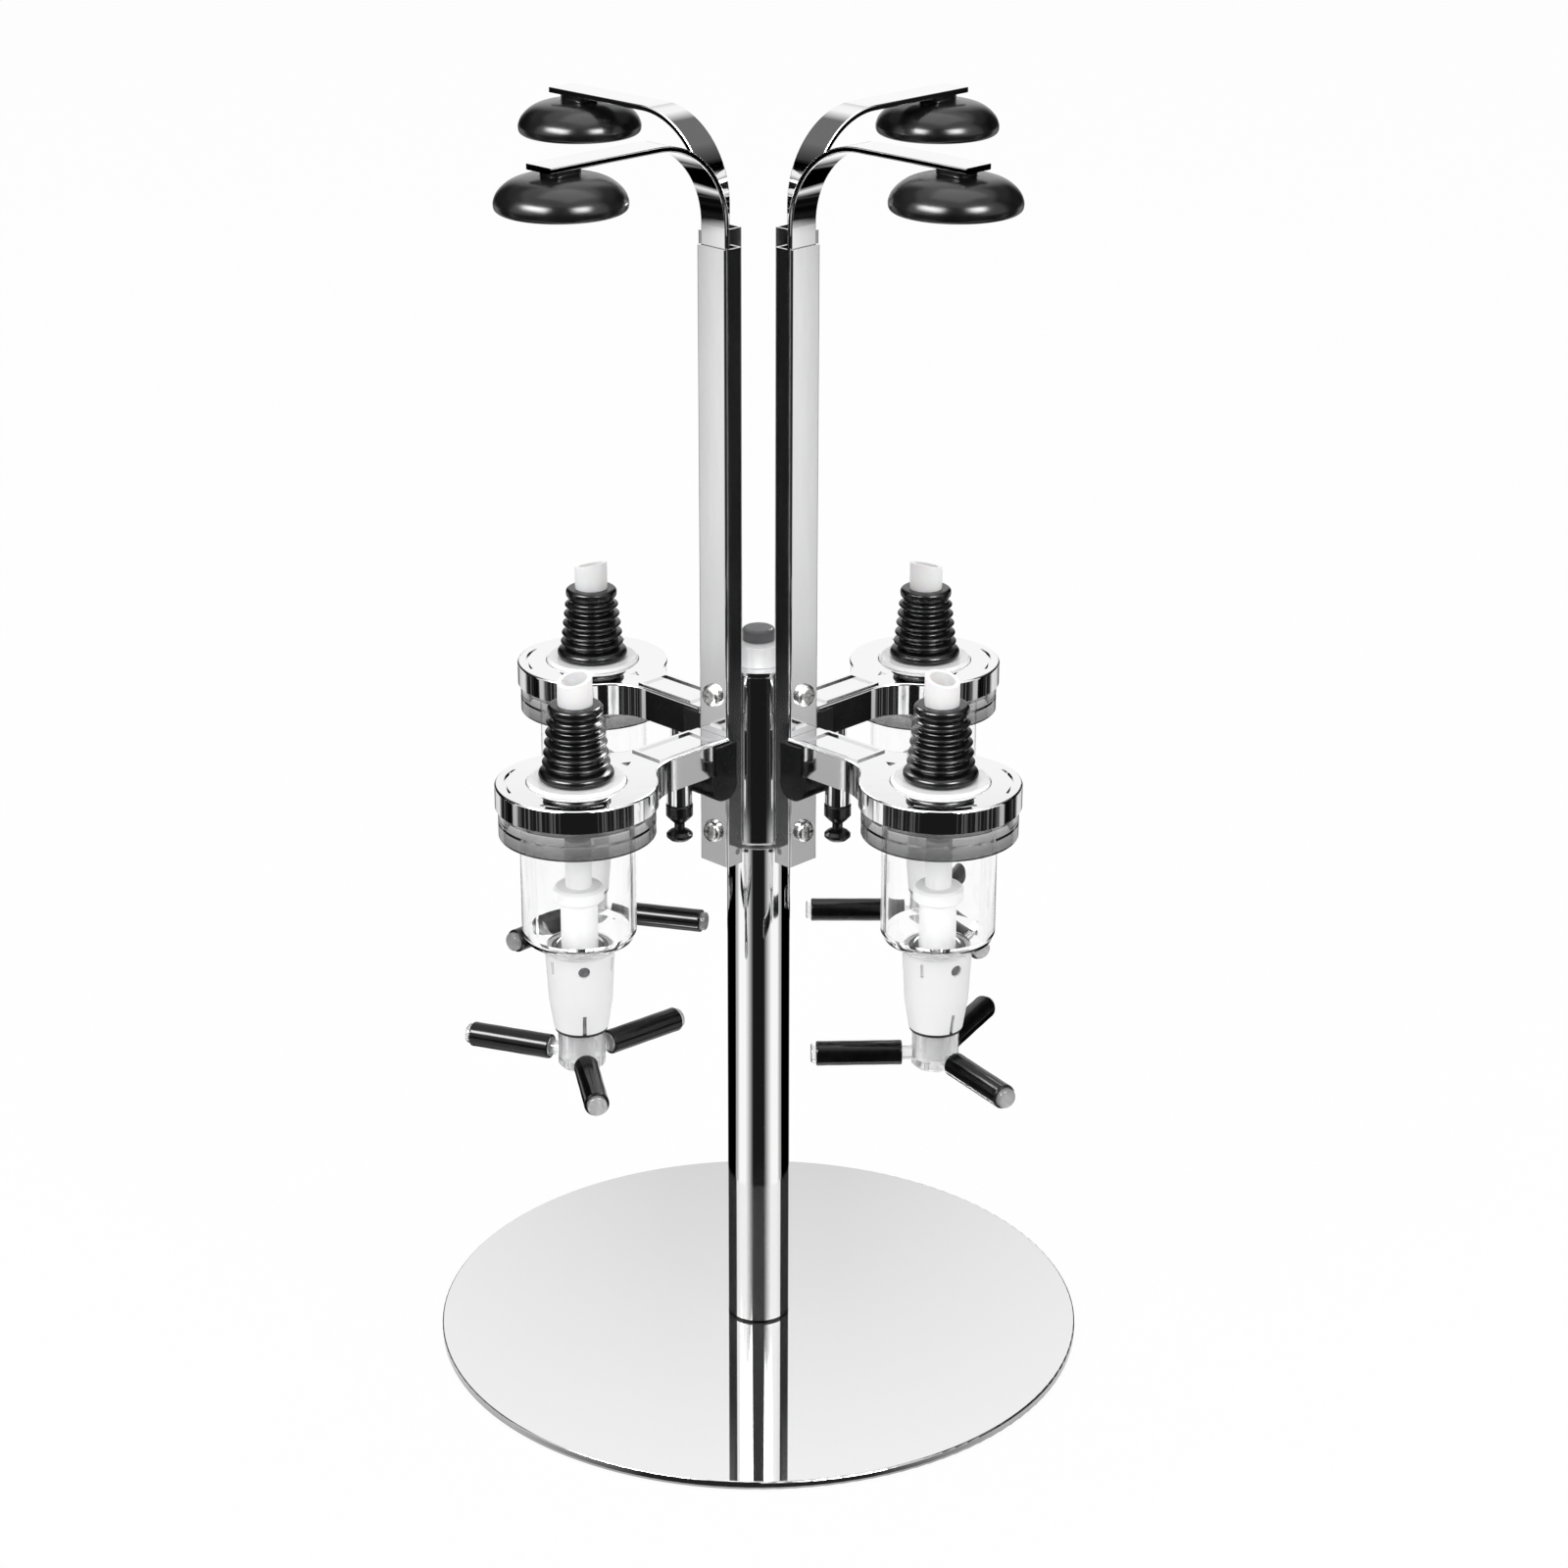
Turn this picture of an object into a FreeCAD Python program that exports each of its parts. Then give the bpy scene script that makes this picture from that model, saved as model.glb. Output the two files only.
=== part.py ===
import FreeCAD, Part
import math
import os

os.makedirs("parts", exist_ok=True)

# Rotating bottle stand with four spirit measures, free standing.
# Millimetres, +Z up. The origin is the middle of the stand's underside.
# Each station is drawn with its radial direction along +X, and is then turned
# about the column to its place. The plan angle of a station counts from +X.

# The four stations, and the plan angle of one lever arm at each
STATIONS = (
    ("front_left", 225.0, 39.6),
    ("front_right", 315.0, 62.0),
    ("back_right", 45.0, 60.0),
    ("back_left", 135.0, 105.0),
)

# Clearances
turn_clear = 0.05
slip_clear = 0.1
loose_clear = 0.3
lap = 0.4
overrun = 1.0

# Foot of the stand
base_radius = 110.0
plate_thick = 3.0
plate_edge_round = 0.5
pad_thick = 0.6
pad_inset = 6.0
foot_bolt_radius = 3.0
foot_bolt_head_radius = 6.0
foot_bolt_length = 16.0

# Column
column_radius = 10.5
column_wall = 1.2
column_top_below_hub = 8.0
plug_length = 20.0

# Swivel
hub_bottom_z = 185.0
washer_thick = 0.8
washer_radius = 12.8
collar_thick = 1.9
hub_radius = 13.9
hub_height = 59.0
hub_neck_radius = 9.5
hub_neck_height = 7.0
hub_groove_depth = 0.6
hub_groove_width = 0.9
pivot_bolt_radius = 2.5
pivot_bolt_grip = 12.0
knob_radius = 5.3
knob_height = 4.0
knob_round = 1.2
knob_gap = 0.2

# Rails
rail_inner_face = 13.45
rail_depth = 7.2
rail_width = 12.5
rail_wall = 0.7
rail_edge_round = 0.6
rail_below_hub = 6.4
rail_top_below_bend = 6.4
rail_screw_radius = 2.0
rail_low_screw_in_hub = 5.0
rail_high_screw_in_hub = 7.0
rail_screw_tip = 10.95
rail_screw_head_radius = 3.7
rail_screw_head_height = 2.3
rail_screw_recess_width = 0.9
rail_screw_recess_length = 4.2
rail_screw_recess_depth = 1.3

# Bottle arms: a flat bar that slides in the rail
bar_thick = 1.8
bar_top_z = 418.0
bar_bottom_above_screw = 14.0
bar_end_past_cup = 8.5
bar_side_clear = 0.15
bar_bend_radius = 27.0
bar_edge_round = 0.35
bar_fork_top_above_screw = 2.0

# Arm spring, hidden in the rail
arm_spring_radius = 1.45
arm_spring_wire = 0.5
arm_spring_clear = 0.25
arm_spring_top_above_fork = 3.0
spring_lug_height = 2.0
spring_pin_radius = 1.0
spring_pin_above_foot = 4.4

# Cups that hold the bottles down
cup_radial = 81.5
cup_radius = 20.0
cup_height = 10.8
cup_neck_height = 1.9
cup_lip_height = 2.2
cup_lip_round = 1.2
cup_crown_radius = 5.5
cup_recess_radius = 15.5
cup_recess_depth = 6.2
cup_mouth_round = 1.5
cup_neck_length = 12.0
cup_neck_width = 9.0
cup_neck_sink = 1.2

# Brackets that carry the measures
optic_radial = 80.1
ring_radius = 25.6
ring_top_z = 224.0
ring_height = 7.5
ring_wall = 1.6
ring_plate_thick = 1.6
ring_edge_round = 0.7
bracket_arm_width = 15.0
bracket_arm_depth = 11.0
bracket_arm_wall = 1.6
bracket_flare_radius = 16.0
bracket_skirt_start = 27.0
frame_start = 25.5
frame_length = 25.0
frame_width = 12.6
frame_rim = 1.1
frame_rise = 0.6
arc_groove_radius = 22.4
arc_groove_width = 1.0
arc_groove_depth = 0.6
arc_groove_half_angle = 27.0
arc_groove_angles = (45.0, -45.0)
notch_radial = 59.0
notch_size = 2.2

# Clamp blocks between the brackets and the rails
block_start = 18.0
block_end = 28.5
block_width = 16.0
block_below_ring = 20.4
block_corner_round = 4.6

# Thumbscrews under the brackets
thumb_radial = 36.0
thumb_boss_radius = 4.1
thumb_boss_below_ring = 19.7
thumb_screw_radius = 2.0
thumb_screw_below_ring = 6.0
thumb_gap = 0.2
thumb_height = 12.4
thumb_upper_radius = 4.35
thumb_waist_radius = 1.7
thumb_lower_radius = 4.25
thumb_lower_bevel = 1.0
thumb_lower_band_top = 1.9
thumb_lower_taper = 0.9
thumb_waist_low = 3.7
thumb_waist_high = 5.6
thumb_upper_taper_low = 7.0
thumb_upper_taper = 1.2
thumb_upper_band_low = 8.4
thumb_upper_bevel = 0.5

# Measuring chamber and its cap
cap_skirt_radius = 24.7
cap_skirt_height = 9.5
cap_skirt_wall = 1.8
cap_deck_thick = 2.4
cap_boss_radius = 15.6
cap_boss_above_ring = 1.2
cap_boss_round = 0.8
cap_groove_depth = 0.5
cap_groove_width = 0.9
chamber_radius = 18.15
chamber_wall = 1.6
chamber_flange_radius = 22.6
chamber_flange_thick = 2.2
chamber_length = 43.4
chamber_shoulder_height = 5.4
chamber_neck_radius = 9.0
chamber_neck_wall = 1.5
chamber_neck_length = 9.4
valve_seat_radius = 3.7
valve_seat_thick = 1.5

# Bottle stopper and inlet tube
stopper_bottom_radius = 9.9
stopper_top_radius = 8.0
stopper_height = 24.5
stopper_flange_radius = 11.9
stopper_flange_height = 3.4
stopper_rib_count = 5
stopper_rib_depth = 1.6
stopper_rim_radius = 8.7
stopper_rim_height = 1.6
inlet_radius = 5.5
inlet_wall = 1.5
inlet_above_stopper = 9.6
inlet_cut_drop = 3.0

# Nozzle under the chamber
nozzle_top_radius = 11.1
nozzle_middle_radius = 10.2
nozzle_middle_drop = 17.6
nozzle_mouth_radius = 8.7
nozzle_length = 27.2
nozzle_bore_radius = 7.85
nozzle_vent_radius = 1.9
nozzle_vent_below_top = 4.4
nozzle_slit_width = 1.3
nozzle_slit_height = 7.0
nozzle_slot_length = 4.6
seal_thick = 1.0
seal_radius = 8.4

# Valve and lever
stem_radius = 5.9
stem_shoulder_height = 11.0
stem_collar_radius = 8.0
stem_collar_height = 5.0
stem_flange_radius = 7.2
stem_flange_height = 2.0
stem_plunger_radius = 4.2
stem_headroom = 10.4
stem_rod_radius = 3.0
lever_hub_radius = 7.55
lever_hub_wall = 1.25
lever_hub_below_nozzle = 13.9
lever_hub_chamfer = 1.0
lever_hub_in_nozzle = 6.6
lever_floor_thick = 3.0
lever_socket_radius = 4.4
lever_socket_sink = 6.0
lever_drain_radius = 0.8
lever_axis_rise = 4.1
lever_reach = 40.0
lever_web_radius = 2.3
lever_rod_radius = 3.2
lever_arm_count = 3
sleeve_radius = 4.0
sleeve_start = 10.8
sleeve_length = 27.4
valve_spring_radius = 4.3
valve_spring_wire = 0.7

# Sizes that follow from the ones above
column_foot_z = pad_thick + plate_thick
hub_top_z = hub_bottom_z + hub_height
column_top_z = hub_top_z - column_top_below_hub
column_bore = column_radius - column_wall
hub_neck_top_z = hub_top_z + hub_neck_height
rail_outer_face = rail_inner_face + rail_depth
rail_bottom_z = hub_bottom_z - rail_below_hub
bar_bend_z = bar_top_z - bar_thick - bar_bend_radius
rail_top_z = bar_bend_z - rail_top_below_bend
rail_low_screw_z = hub_bottom_z + rail_low_screw_in_hub
rail_high_screw_z = hub_top_z - rail_high_screw_in_hub
rail_screw_heights = (rail_low_screw_z, rail_high_screw_z)
rail_cavity_in = rail_inner_face + rail_wall
rail_cavity_out = rail_outer_face - rail_wall
rail_cavity_width = rail_width - 2 * rail_wall
bar_width = rail_cavity_width - 2 * bar_side_clear
bar_outer_face = rail_cavity_out - loose_clear
bar_inner_face = bar_outer_face - bar_thick
bar_bottom_z = rail_low_screw_z + bar_bottom_above_screw
bar_reach = cup_radial + bar_end_past_cup
cup_dome_top_z = bar_top_z - bar_thick - cup_neck_height
cup_bottom_z = cup_dome_top_z - cup_height
fork_slot_width = 2 * (rail_screw_radius + loose_clear)
fork_top_z = rail_high_screw_z + rail_screw_radius + bar_fork_top_above_screw
spring_lug_z = fork_top_z + arm_spring_top_above_fork
spring_lug_inner_face = rail_cavity_in + loose_clear
arm_spring_x = rail_cavity_in + arm_spring_clear + arm_spring_radius
arm_spring_y = rail_screw_radius + loose_clear + arm_spring_radius
spring_pin_z = rail_bottom_z + spring_pin_above_foot
ring_bottom_z = ring_top_z - ring_height
ring_hole_radius = cap_boss_radius + loose_clear
bracket_top_under = ring_top_z - ring_plate_thick
bracket_arm_start = rail_outer_face + slip_clear
bracket_skirt_z = ring_top_z - bracket_arm_depth
block_bottom_z = ring_top_z - block_below_ring
thumb_boss_bottom_z = ring_top_z - thumb_boss_below_ring
thumb_screw_top_z = ring_top_z - thumb_screw_below_ring
thumb_top_z = thumb_boss_bottom_z - thumb_gap
thumb_bottom_z = thumb_top_z - thumb_height
cap_skirt_bottom_z = ring_bottom_z - cap_skirt_height
cap_boss_top_z = ring_top_z + cap_boss_above_ring
cap_deck_bottom_z = ring_bottom_z
cap_deck_top_z = cap_deck_bottom_z + cap_deck_thick
stopper_bottom_z = cap_boss_top_z
stopper_top_z = stopper_bottom_z + stopper_height
inlet_top_z = stopper_top_z + inlet_above_stopper
chamber_top_z = cap_deck_bottom_z - slip_clear
chamber_shoulder_z = chamber_top_z - chamber_length
chamber_neck_z = chamber_shoulder_z - chamber_shoulder_height
chamber_neck_bottom_z = chamber_neck_z - chamber_neck_length
nozzle_middle_z = chamber_neck_z - nozzle_middle_drop
nozzle_bottom_z = chamber_neck_z - nozzle_length
stem_bore_radius = stem_rod_radius + turn_clear
valve_seat_z = chamber_neck_bottom_z + valve_seat_thick
stem_bottom_z = valve_seat_z + slip_clear
stem_shoulder_z = chamber_shoulder_z + stem_shoulder_height
stem_plunger_top_z = chamber_top_z - stem_headroom
lever_hub_bottom_z = nozzle_bottom_z - lever_hub_below_nozzle
lever_hub_top_z = nozzle_bottom_z + lever_hub_in_nozzle
lever_socket_top_z = lever_hub_top_z - lever_socket_sink
lever_axis_z = lever_hub_bottom_z + lever_axis_rise


def cyl(radius, low, high, x=0.0, y=0.0):
    return Part.makeCylinder(radius, high - low, FreeCAD.Vector(x, y, low))


def ring(outer, inner, low, high, x=0.0, y=0.0):
    return cyl(outer, low, high, x, y).cut(cyl(inner, low - overrun, high + overrun, x, y))


def block(x0, x1, y0, y1, z0, z1):
    return Part.makeBox(x1 - x0, y1 - y0, z1 - z0, FreeCAD.Vector(x0, y0, z0))


def turned(points, x=0.0):
    """A solid of revolution about a vertical axis at x, from (radius, height) points."""
    corners = [FreeCAD.Vector(x + radius, 0.0, height) for radius, height in points]
    face = Part.Face(Part.makePolygon(corners + corners[:1]))
    return face.revolve(FreeCAD.Vector(x, 0, 0), FreeCAD.Vector(0, 0, 1), 360)


def turned_wire(edges, x=0.0):
    """A solid of revolution about a vertical axis at x, from closed edges."""
    face = Part.Face(Part.Wire(edges))
    return face.revolve(FreeCAD.Vector(x, 0, 0), FreeCAD.Vector(0, 0, 1), 360)


def line(start, end):
    return Part.LineSegment(start, end).toShape()


def arc(start, middle, end):
    return Part.Arc(start, middle, end).toShape()


def spun(shape, degrees, x=0.0, y=0.0):
    copy = shape.copy()
    copy.rotate(FreeCAD.Vector(x, y, 0), FreeCAD.Vector(0, 0, 1), degrees)
    return copy


def joined(first, *others):
    shape = first.fuse(list(others))
    return shape.removeSplitter()


def rounded(shape, radius, wanted):
    """Round the edges whose middle point passes the test wanted."""
    edges = []
    for edge in shape.Edges:
        middle = edge.valueAt((edge.FirstParameter + edge.LastParameter) / 2)
        if wanted(edge, middle):
            edges.append(edge)
    return shape.makeFillet(radius, edges)


def upright(edge):
    """Whether a straight edge runs along Z."""
    if edge.Curve.TypeId != "Part::GeomLine":
        return False
    return abs(edge.Curve.Direction.z) > 0.99


def save(name, *solids):
    shape = solids[0] if len(solids) == 1 else Part.makeCompound(list(solids))
    shape.exportStep("parts/" + name + ".step")


# Rubber pad, base plate, foot bolt and the column with its two plugs

def base_pad():
    hole = foot_bolt_head_radius + 2.0
    return ring(base_radius - pad_inset, hole, 0.0, pad_thick)


def base_plate():
    plate = cyl(base_radius, pad_thick, column_foot_z)
    plate = rounded(plate, plate_edge_round, lambda edge, middle: edge.Closed)
    wide = foot_bolt_head_radius + slip_clear
    narrow = foot_bolt_radius + slip_clear
    sink = Part.makeCone(wide, narrow, plate_thick, FreeCAD.Vector(0, 0, pad_thick))
    return plate.cut(sink)


def foot_bolt():
    head = Part.makeCone(
        foot_bolt_head_radius,
        foot_bolt_radius,
        plate_thick,
        FreeCAD.Vector(0, 0, pad_thick),
    )
    shank = cyl(foot_bolt_radius, column_foot_z - lap, column_foot_z + foot_bolt_length)
    socket = cyl(foot_bolt_radius * 0.6, pad_thick - overrun, pad_thick + plate_thick * 0.6)
    return joined(head, shank).cut(socket)


def column():
    return ring(column_radius, column_bore, column_foot_z, column_top_z)


def column_plugs():
    outer = column_bore - turn_clear
    foot = ring(outer, foot_bolt_radius + turn_clear, column_foot_z, column_foot_z + plug_length)
    top = ring(outer, pivot_bolt_radius + turn_clear, column_top_z - plug_length, column_top_z)
    return foot, top


# Swivel: collar and washer on the column, hub on the washer, knob on top

def support_collar():
    top = hub_bottom_z - washer_thick
    collar = ring(washer_radius, column_radius + turn_clear, top - collar_thick, top)
    return rounded(collar, 0.4, lambda edge, middle: edge.Closed and abs(middle.x) > column_radius + 1.0)


def thrust_washer():
    return ring(
        washer_radius,
        column_radius + turn_clear,
        hub_bottom_z - washer_thick,
        hub_bottom_z,
    )


def hub():
    body = cyl(hub_radius, hub_bottom_z, hub_top_z)
    neck = cyl(hub_neck_radius, hub_top_z - lap, hub_neck_top_z)
    body = joined(body, neck)
    bore = cyl(column_radius + turn_clear, hub_bottom_z - overrun, column_top_z + loose_clear)
    pivot = cyl(pivot_bolt_radius + turn_clear, hub_bottom_z, hub_neck_top_z + overrun)
    body = body.cut(bore).cut(pivot)
    groove_top = hub_top_z - hub_groove_width
    groove = ring(
        hub_radius + overrun,
        hub_radius - hub_groove_depth,
        groove_top - hub_groove_width,
        groove_top,
    )
    body = body.cut(groove)
    for name, angle, lever in STATIONS:
        flat = block(rail_inner_face, hub_radius + overrun, -hub_radius, hub_radius,
                     hub_bottom_z - overrun, hub_top_z + overrun)
        body = body.cut(spun(flat, angle))
        for height in rail_screw_heights:
            hole = Part.makeCylinder(
                rail_screw_radius + turn_clear,
                hub_radius,
                FreeCAD.Vector(column_radius - overrun, 0, height),
                FreeCAD.Vector(1, 0, 0),
            )
            body = body.cut(spun(hole, angle))
    return body


def pivot_bolt():
    low = column_top_z - pivot_bolt_grip
    high = hub_neck_top_z + knob_gap + knob_height * 0.6
    return cyl(pivot_bolt_radius, low, high)


def hub_knob():
    low = hub_neck_top_z + knob_gap
    knob = cyl(knob_radius, low, low + knob_height)
    knob = rounded(knob, knob_round, lambda edge, middle: edge.Closed and middle.z > low + 1.0)
    hole = cyl(pivot_bolt_radius + turn_clear, low - overrun, low + knob_height * 0.6 + slip_clear)
    return knob.cut(hole)


# Rails, their screws and the pins that hold the arm springs

def rail():
    half = rail_width / 2
    inner = rail_cavity_width / 2
    shell = block(rail_inner_face, rail_outer_face, -half, half, rail_bottom_z, rail_top_z)
    shell = rounded(shell, rail_edge_round, lambda edge, middle: upright(edge))
    cavity = block(rail_cavity_in, rail_cavity_out, -inner, inner,
                   rail_bottom_z - overrun, rail_top_z + overrun)
    shell = shell.cut(cavity)
    for height in rail_screw_heights:
        hole = Part.makeCylinder(
            rail_screw_radius + turn_clear,
            rail_depth + 2 * overrun,
            FreeCAD.Vector(rail_inner_face - overrun, 0, height),
            FreeCAD.Vector(1, 0, 0),
        )
        shell = shell.cut(hole)
    pin_hole = Part.makeCylinder(
        spring_pin_radius + turn_clear,
        rail_width + 2 * overrun,
        FreeCAD.Vector(arm_spring_x, -half - overrun, spring_pin_z),
        FreeCAD.Vector(0, 1, 0),
    )
    return shell.cut(pin_hole)


def rail_screw(height):
    outward = FreeCAD.Vector(1, 0, 0)
    shank = Part.makeCylinder(
        rail_screw_radius,
        rail_outer_face + lap - rail_screw_tip,
        FreeCAD.Vector(rail_screw_tip, 0, height),
        outward,
    )
    head = Part.makeCylinder(
        rail_screw_head_radius,
        rail_screw_head_height,
        FreeCAD.Vector(rail_outer_face, 0, height),
        outward,
    )
    crown = rail_outer_face + rail_screw_head_height
    head = rounded(
        head,
        rail_screw_head_height * 0.7,
        lambda edge, middle: edge.Closed and middle.x > crown - 0.1,
    )
    screw = joined(shank, head)
    long_half = rail_screw_recess_length / 2
    thin_half = rail_screw_recess_width / 2
    floor = crown - rail_screw_recess_depth
    screw = screw.cut(block(floor, crown + overrun, -long_half, long_half,
                            height - thin_half, height + thin_half))
    return screw.cut(block(floor, crown + overrun, -thin_half, thin_half,
                           height - long_half, height + long_half))


def spring_pin():
    return Part.makeCylinder(
        spring_pin_radius,
        rail_width,
        FreeCAD.Vector(arm_spring_x, -rail_width / 2, spring_pin_z),
        FreeCAD.Vector(0, 1, 0),
    )


# Arm bars with their springs, and the cups at their ends

def arm_bar():
    half = bar_width / 2
    outer = bar_outer_face
    inner = bar_inner_face
    centre_x = outer + bar_bend_radius
    centre_z = bar_bend_z
    near = bar_bend_radius
    far = bar_bend_radius + bar_thick
    diagonal = math.sqrt(0.5)

    def point(x, z):
        return FreeCAD.Vector(x, -half, z)

    edges = [
        line(point(inner, bar_bottom_z), point(inner, centre_z)),
        arc(
            point(inner, centre_z),
            point(centre_x - far * diagonal, centre_z + far * diagonal),
            point(centre_x, bar_top_z),
        ),
        line(point(centre_x, bar_top_z), point(bar_reach, bar_top_z)),
        line(point(bar_reach, bar_top_z), point(bar_reach, bar_top_z - bar_thick)),
        line(point(bar_reach, bar_top_z - bar_thick), point(centre_x, bar_top_z - bar_thick)),
        arc(
            point(centre_x, bar_top_z - bar_thick),
            point(centre_x - near * diagonal, centre_z + near * diagonal),
            point(outer, centre_z),
        ),
        line(point(outer, centre_z), point(outer, bar_bottom_z)),
        line(point(outer, bar_bottom_z), point(inner, bar_bottom_z)),
    ]
    bar = Part.Face(Part.Wire(edges)).extrude(FreeCAD.Vector(0, bar_width, 0))
    bar = rounded(
        bar,
        bar_edge_round,
        lambda edge, middle: abs(abs(middle.y) - half) < 0.01 and middle.z > bar_bottom_z + 1.0
        and middle.x < bar_reach - 1.0,
    )
    slot_half = fork_slot_width / 2
    fork = block(inner - overrun, outer + overrun, -slot_half, slot_half,
                 bar_bottom_z - overrun, fork_top_z - slot_half)
    crown = Part.makeCylinder(
        slot_half,
        bar_thick + 2 * overrun,
        FreeCAD.Vector(inner - overrun, 0, fork_top_z - slot_half),
        FreeCAD.Vector(1, 0, 0),
    )
    bar = bar.cut(fork).cut(crown)
    lug = block(
        spring_lug_inner_face,
        inner + lap,
        arm_spring_y - arm_spring_radius,
        arm_spring_y + arm_spring_radius,
        spring_lug_z,
        spring_lug_z + spring_lug_height,
    )
    return joined(bar, lug)


def arm_spring():
    low = spring_pin_z + spring_pin_radius + 0.1
    high = spring_lug_z - loose_clear
    return ring(arm_spring_radius, arm_spring_radius - arm_spring_wire,
                low, high, arm_spring_x, arm_spring_y)


def cup():
    def point(radius, height):
        return FreeCAD.Vector(cup_radial + radius, 0, height)

    lip_z = cup_bottom_z + cup_lip_height
    recess_top = cup_bottom_z + cup_recess_depth
    rise = cup_dome_top_z - lip_z
    spread = cup_radius - cup_crown_radius
    diagonal = math.sqrt(0.5)
    edges = [
        line(point(0, cup_dome_top_z), point(cup_crown_radius, cup_dome_top_z)),
        Part.BSplineCurve(
            [
                point(cup_crown_radius, cup_dome_top_z),
                point(cup_crown_radius + spread * 0.5, cup_dome_top_z - rise * 0.10),
                point(cup_crown_radius + spread * diagonal * 1.14, lip_z + rise * 0.62),
                point(cup_radius - 0.35, lip_z + rise * 0.25),
                point(cup_radius, lip_z),
            ],
        ).toShape(),
        line(point(cup_radius, lip_z), point(cup_radius - 0.2, cup_bottom_z + cup_lip_round)),
        line(point(cup_radius - 0.2, cup_bottom_z + cup_lip_round),
             point(cup_radius - cup_lip_round, cup_bottom_z)),
        line(point(cup_radius - cup_lip_round, cup_bottom_z),
             point(cup_recess_radius + cup_mouth_round, cup_bottom_z)),
        line(point(cup_recess_radius + cup_mouth_round, cup_bottom_z),
             point(cup_recess_radius, recess_top)),
        line(point(cup_recess_radius, recess_top), point(0, recess_top)),
        line(point(0, recess_top), point(0, cup_dome_top_z)),
    ]
    dome = turned_wire(edges, cup_radial)
    half_long = cup_neck_length / 2
    half_wide = cup_neck_width / 2
    neck = block(
        cup_radial - half_long,
        cup_radial + half_long,
        -half_wide,
        half_wide,
        cup_dome_top_z - cup_neck_sink,
        bar_top_z - bar_thick,
    )
    neck = rounded(neck, 1.2, lambda edge, middle: upright(edge))
    return joined(dome, neck)


# Brackets, with the clamp blocks and thumbscrews under them

def arm_outline(half_width, start, grow):
    """The arm seen from above, flaring into the ring, as a face at height 0."""
    reach = ring_radius + bracket_flare_radius
    centre_y = half_width + bracket_flare_radius
    centre_x = optic_radial - math.sqrt(reach ** 2 - centre_y ** 2)
    share = ring_radius / reach
    touch_x = optic_radial + (centre_x - optic_radial) * share
    touch_y = centre_y * share
    turn = math.atan2(touch_y - centre_y, touch_x - centre_x)
    middle = (turn - math.pi / 2) / 2
    if turn > 0:
        middle = (turn - 2 * math.pi - math.pi / 2) / 2
    arc_radius = bracket_flare_radius + grow

    def point(x, y):
        return FreeCAD.Vector(x, y, 0)

    def on_arc(angle, side):
        return point(
            centre_x + arc_radius * math.cos(angle),
            side * (centre_y + arc_radius * math.sin(angle)),
        )

    low = half_width - grow
    inside = optic_radial - ring_radius * 0.75
    edges = [
        line(point(start, -low), point(centre_x, -low)),
        arc(point(centre_x, -low), on_arc(middle, -1), on_arc(turn, -1)),
        line(on_arc(turn, -1), point(inside, -abs(on_arc(turn, -1).y))),
        line(point(inside, -abs(on_arc(turn, -1).y)), point(inside, abs(on_arc(turn, 1).y))),
        line(point(inside, abs(on_arc(turn, 1).y)), on_arc(turn, 1)),
        arc(on_arc(turn, 1), on_arc(middle, 1), point(centre_x, low)),
        line(point(centre_x, low), point(start, low)),
        line(point(start, low), point(start, -low)),
    ]
    return Part.Face(Part.Wire(edges))


def raised(face, low, high):
    copy = face.copy()
    copy.translate(FreeCAD.Vector(0, 0, low))
    return copy.extrude(FreeCAD.Vector(0, 0, high - low))


def bracket():
    half = bracket_arm_width / 2
    outer = raised(arm_outline(half, bracket_arm_start, 0.0), bracket_skirt_z, ring_top_z)
    disc = cyl(ring_radius, ring_bottom_z, ring_top_z, optic_radial)
    outer = outer.cut(cyl(ring_radius - 0.2, bracket_skirt_z - overrun, ring_bottom_z, optic_radial))
    body = joined(outer, disc)
    body = rounded(
        body,
        ring_edge_round,
        lambda edge, middle: abs(middle.z - ring_top_z) < 0.01 and middle.x > bracket_arm_start + 0.1,
    )
    hollow = raised(
        arm_outline(half, bracket_arm_start - overrun, bracket_arm_wall),
        bracket_skirt_z - overrun,
        bracket_top_under,
    )
    open_end = block(
        bracket_arm_start - overrun,
        bracket_skirt_start,
        -half - overrun,
        half + overrun,
        bracket_skirt_z - overrun,
        bracket_top_under,
    )
    well = cyl(ring_radius - ring_wall, bracket_skirt_z - overrun, bracket_top_under, optic_radial)
    body = body.cut(hollow).cut(open_end).cut(well)
    body = body.cut(cyl(ring_hole_radius, bracket_skirt_z, ring_top_z + overrun, optic_radial))
    for angle in arc_groove_angles:
        body = body.cut(arc_groove(angle))
    body = body.cut(flare_notch())
    boss = cyl(thumb_boss_radius, thumb_boss_bottom_z, bracket_top_under + lap, thumb_radial)
    thread = cyl(
        thumb_screw_radius + turn_clear,
        thumb_boss_bottom_z - overrun,
        thumb_screw_top_z + overrun,
        thumb_radial,
    )
    return joined(body, boss, raised_frame()).cut(thread)


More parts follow.
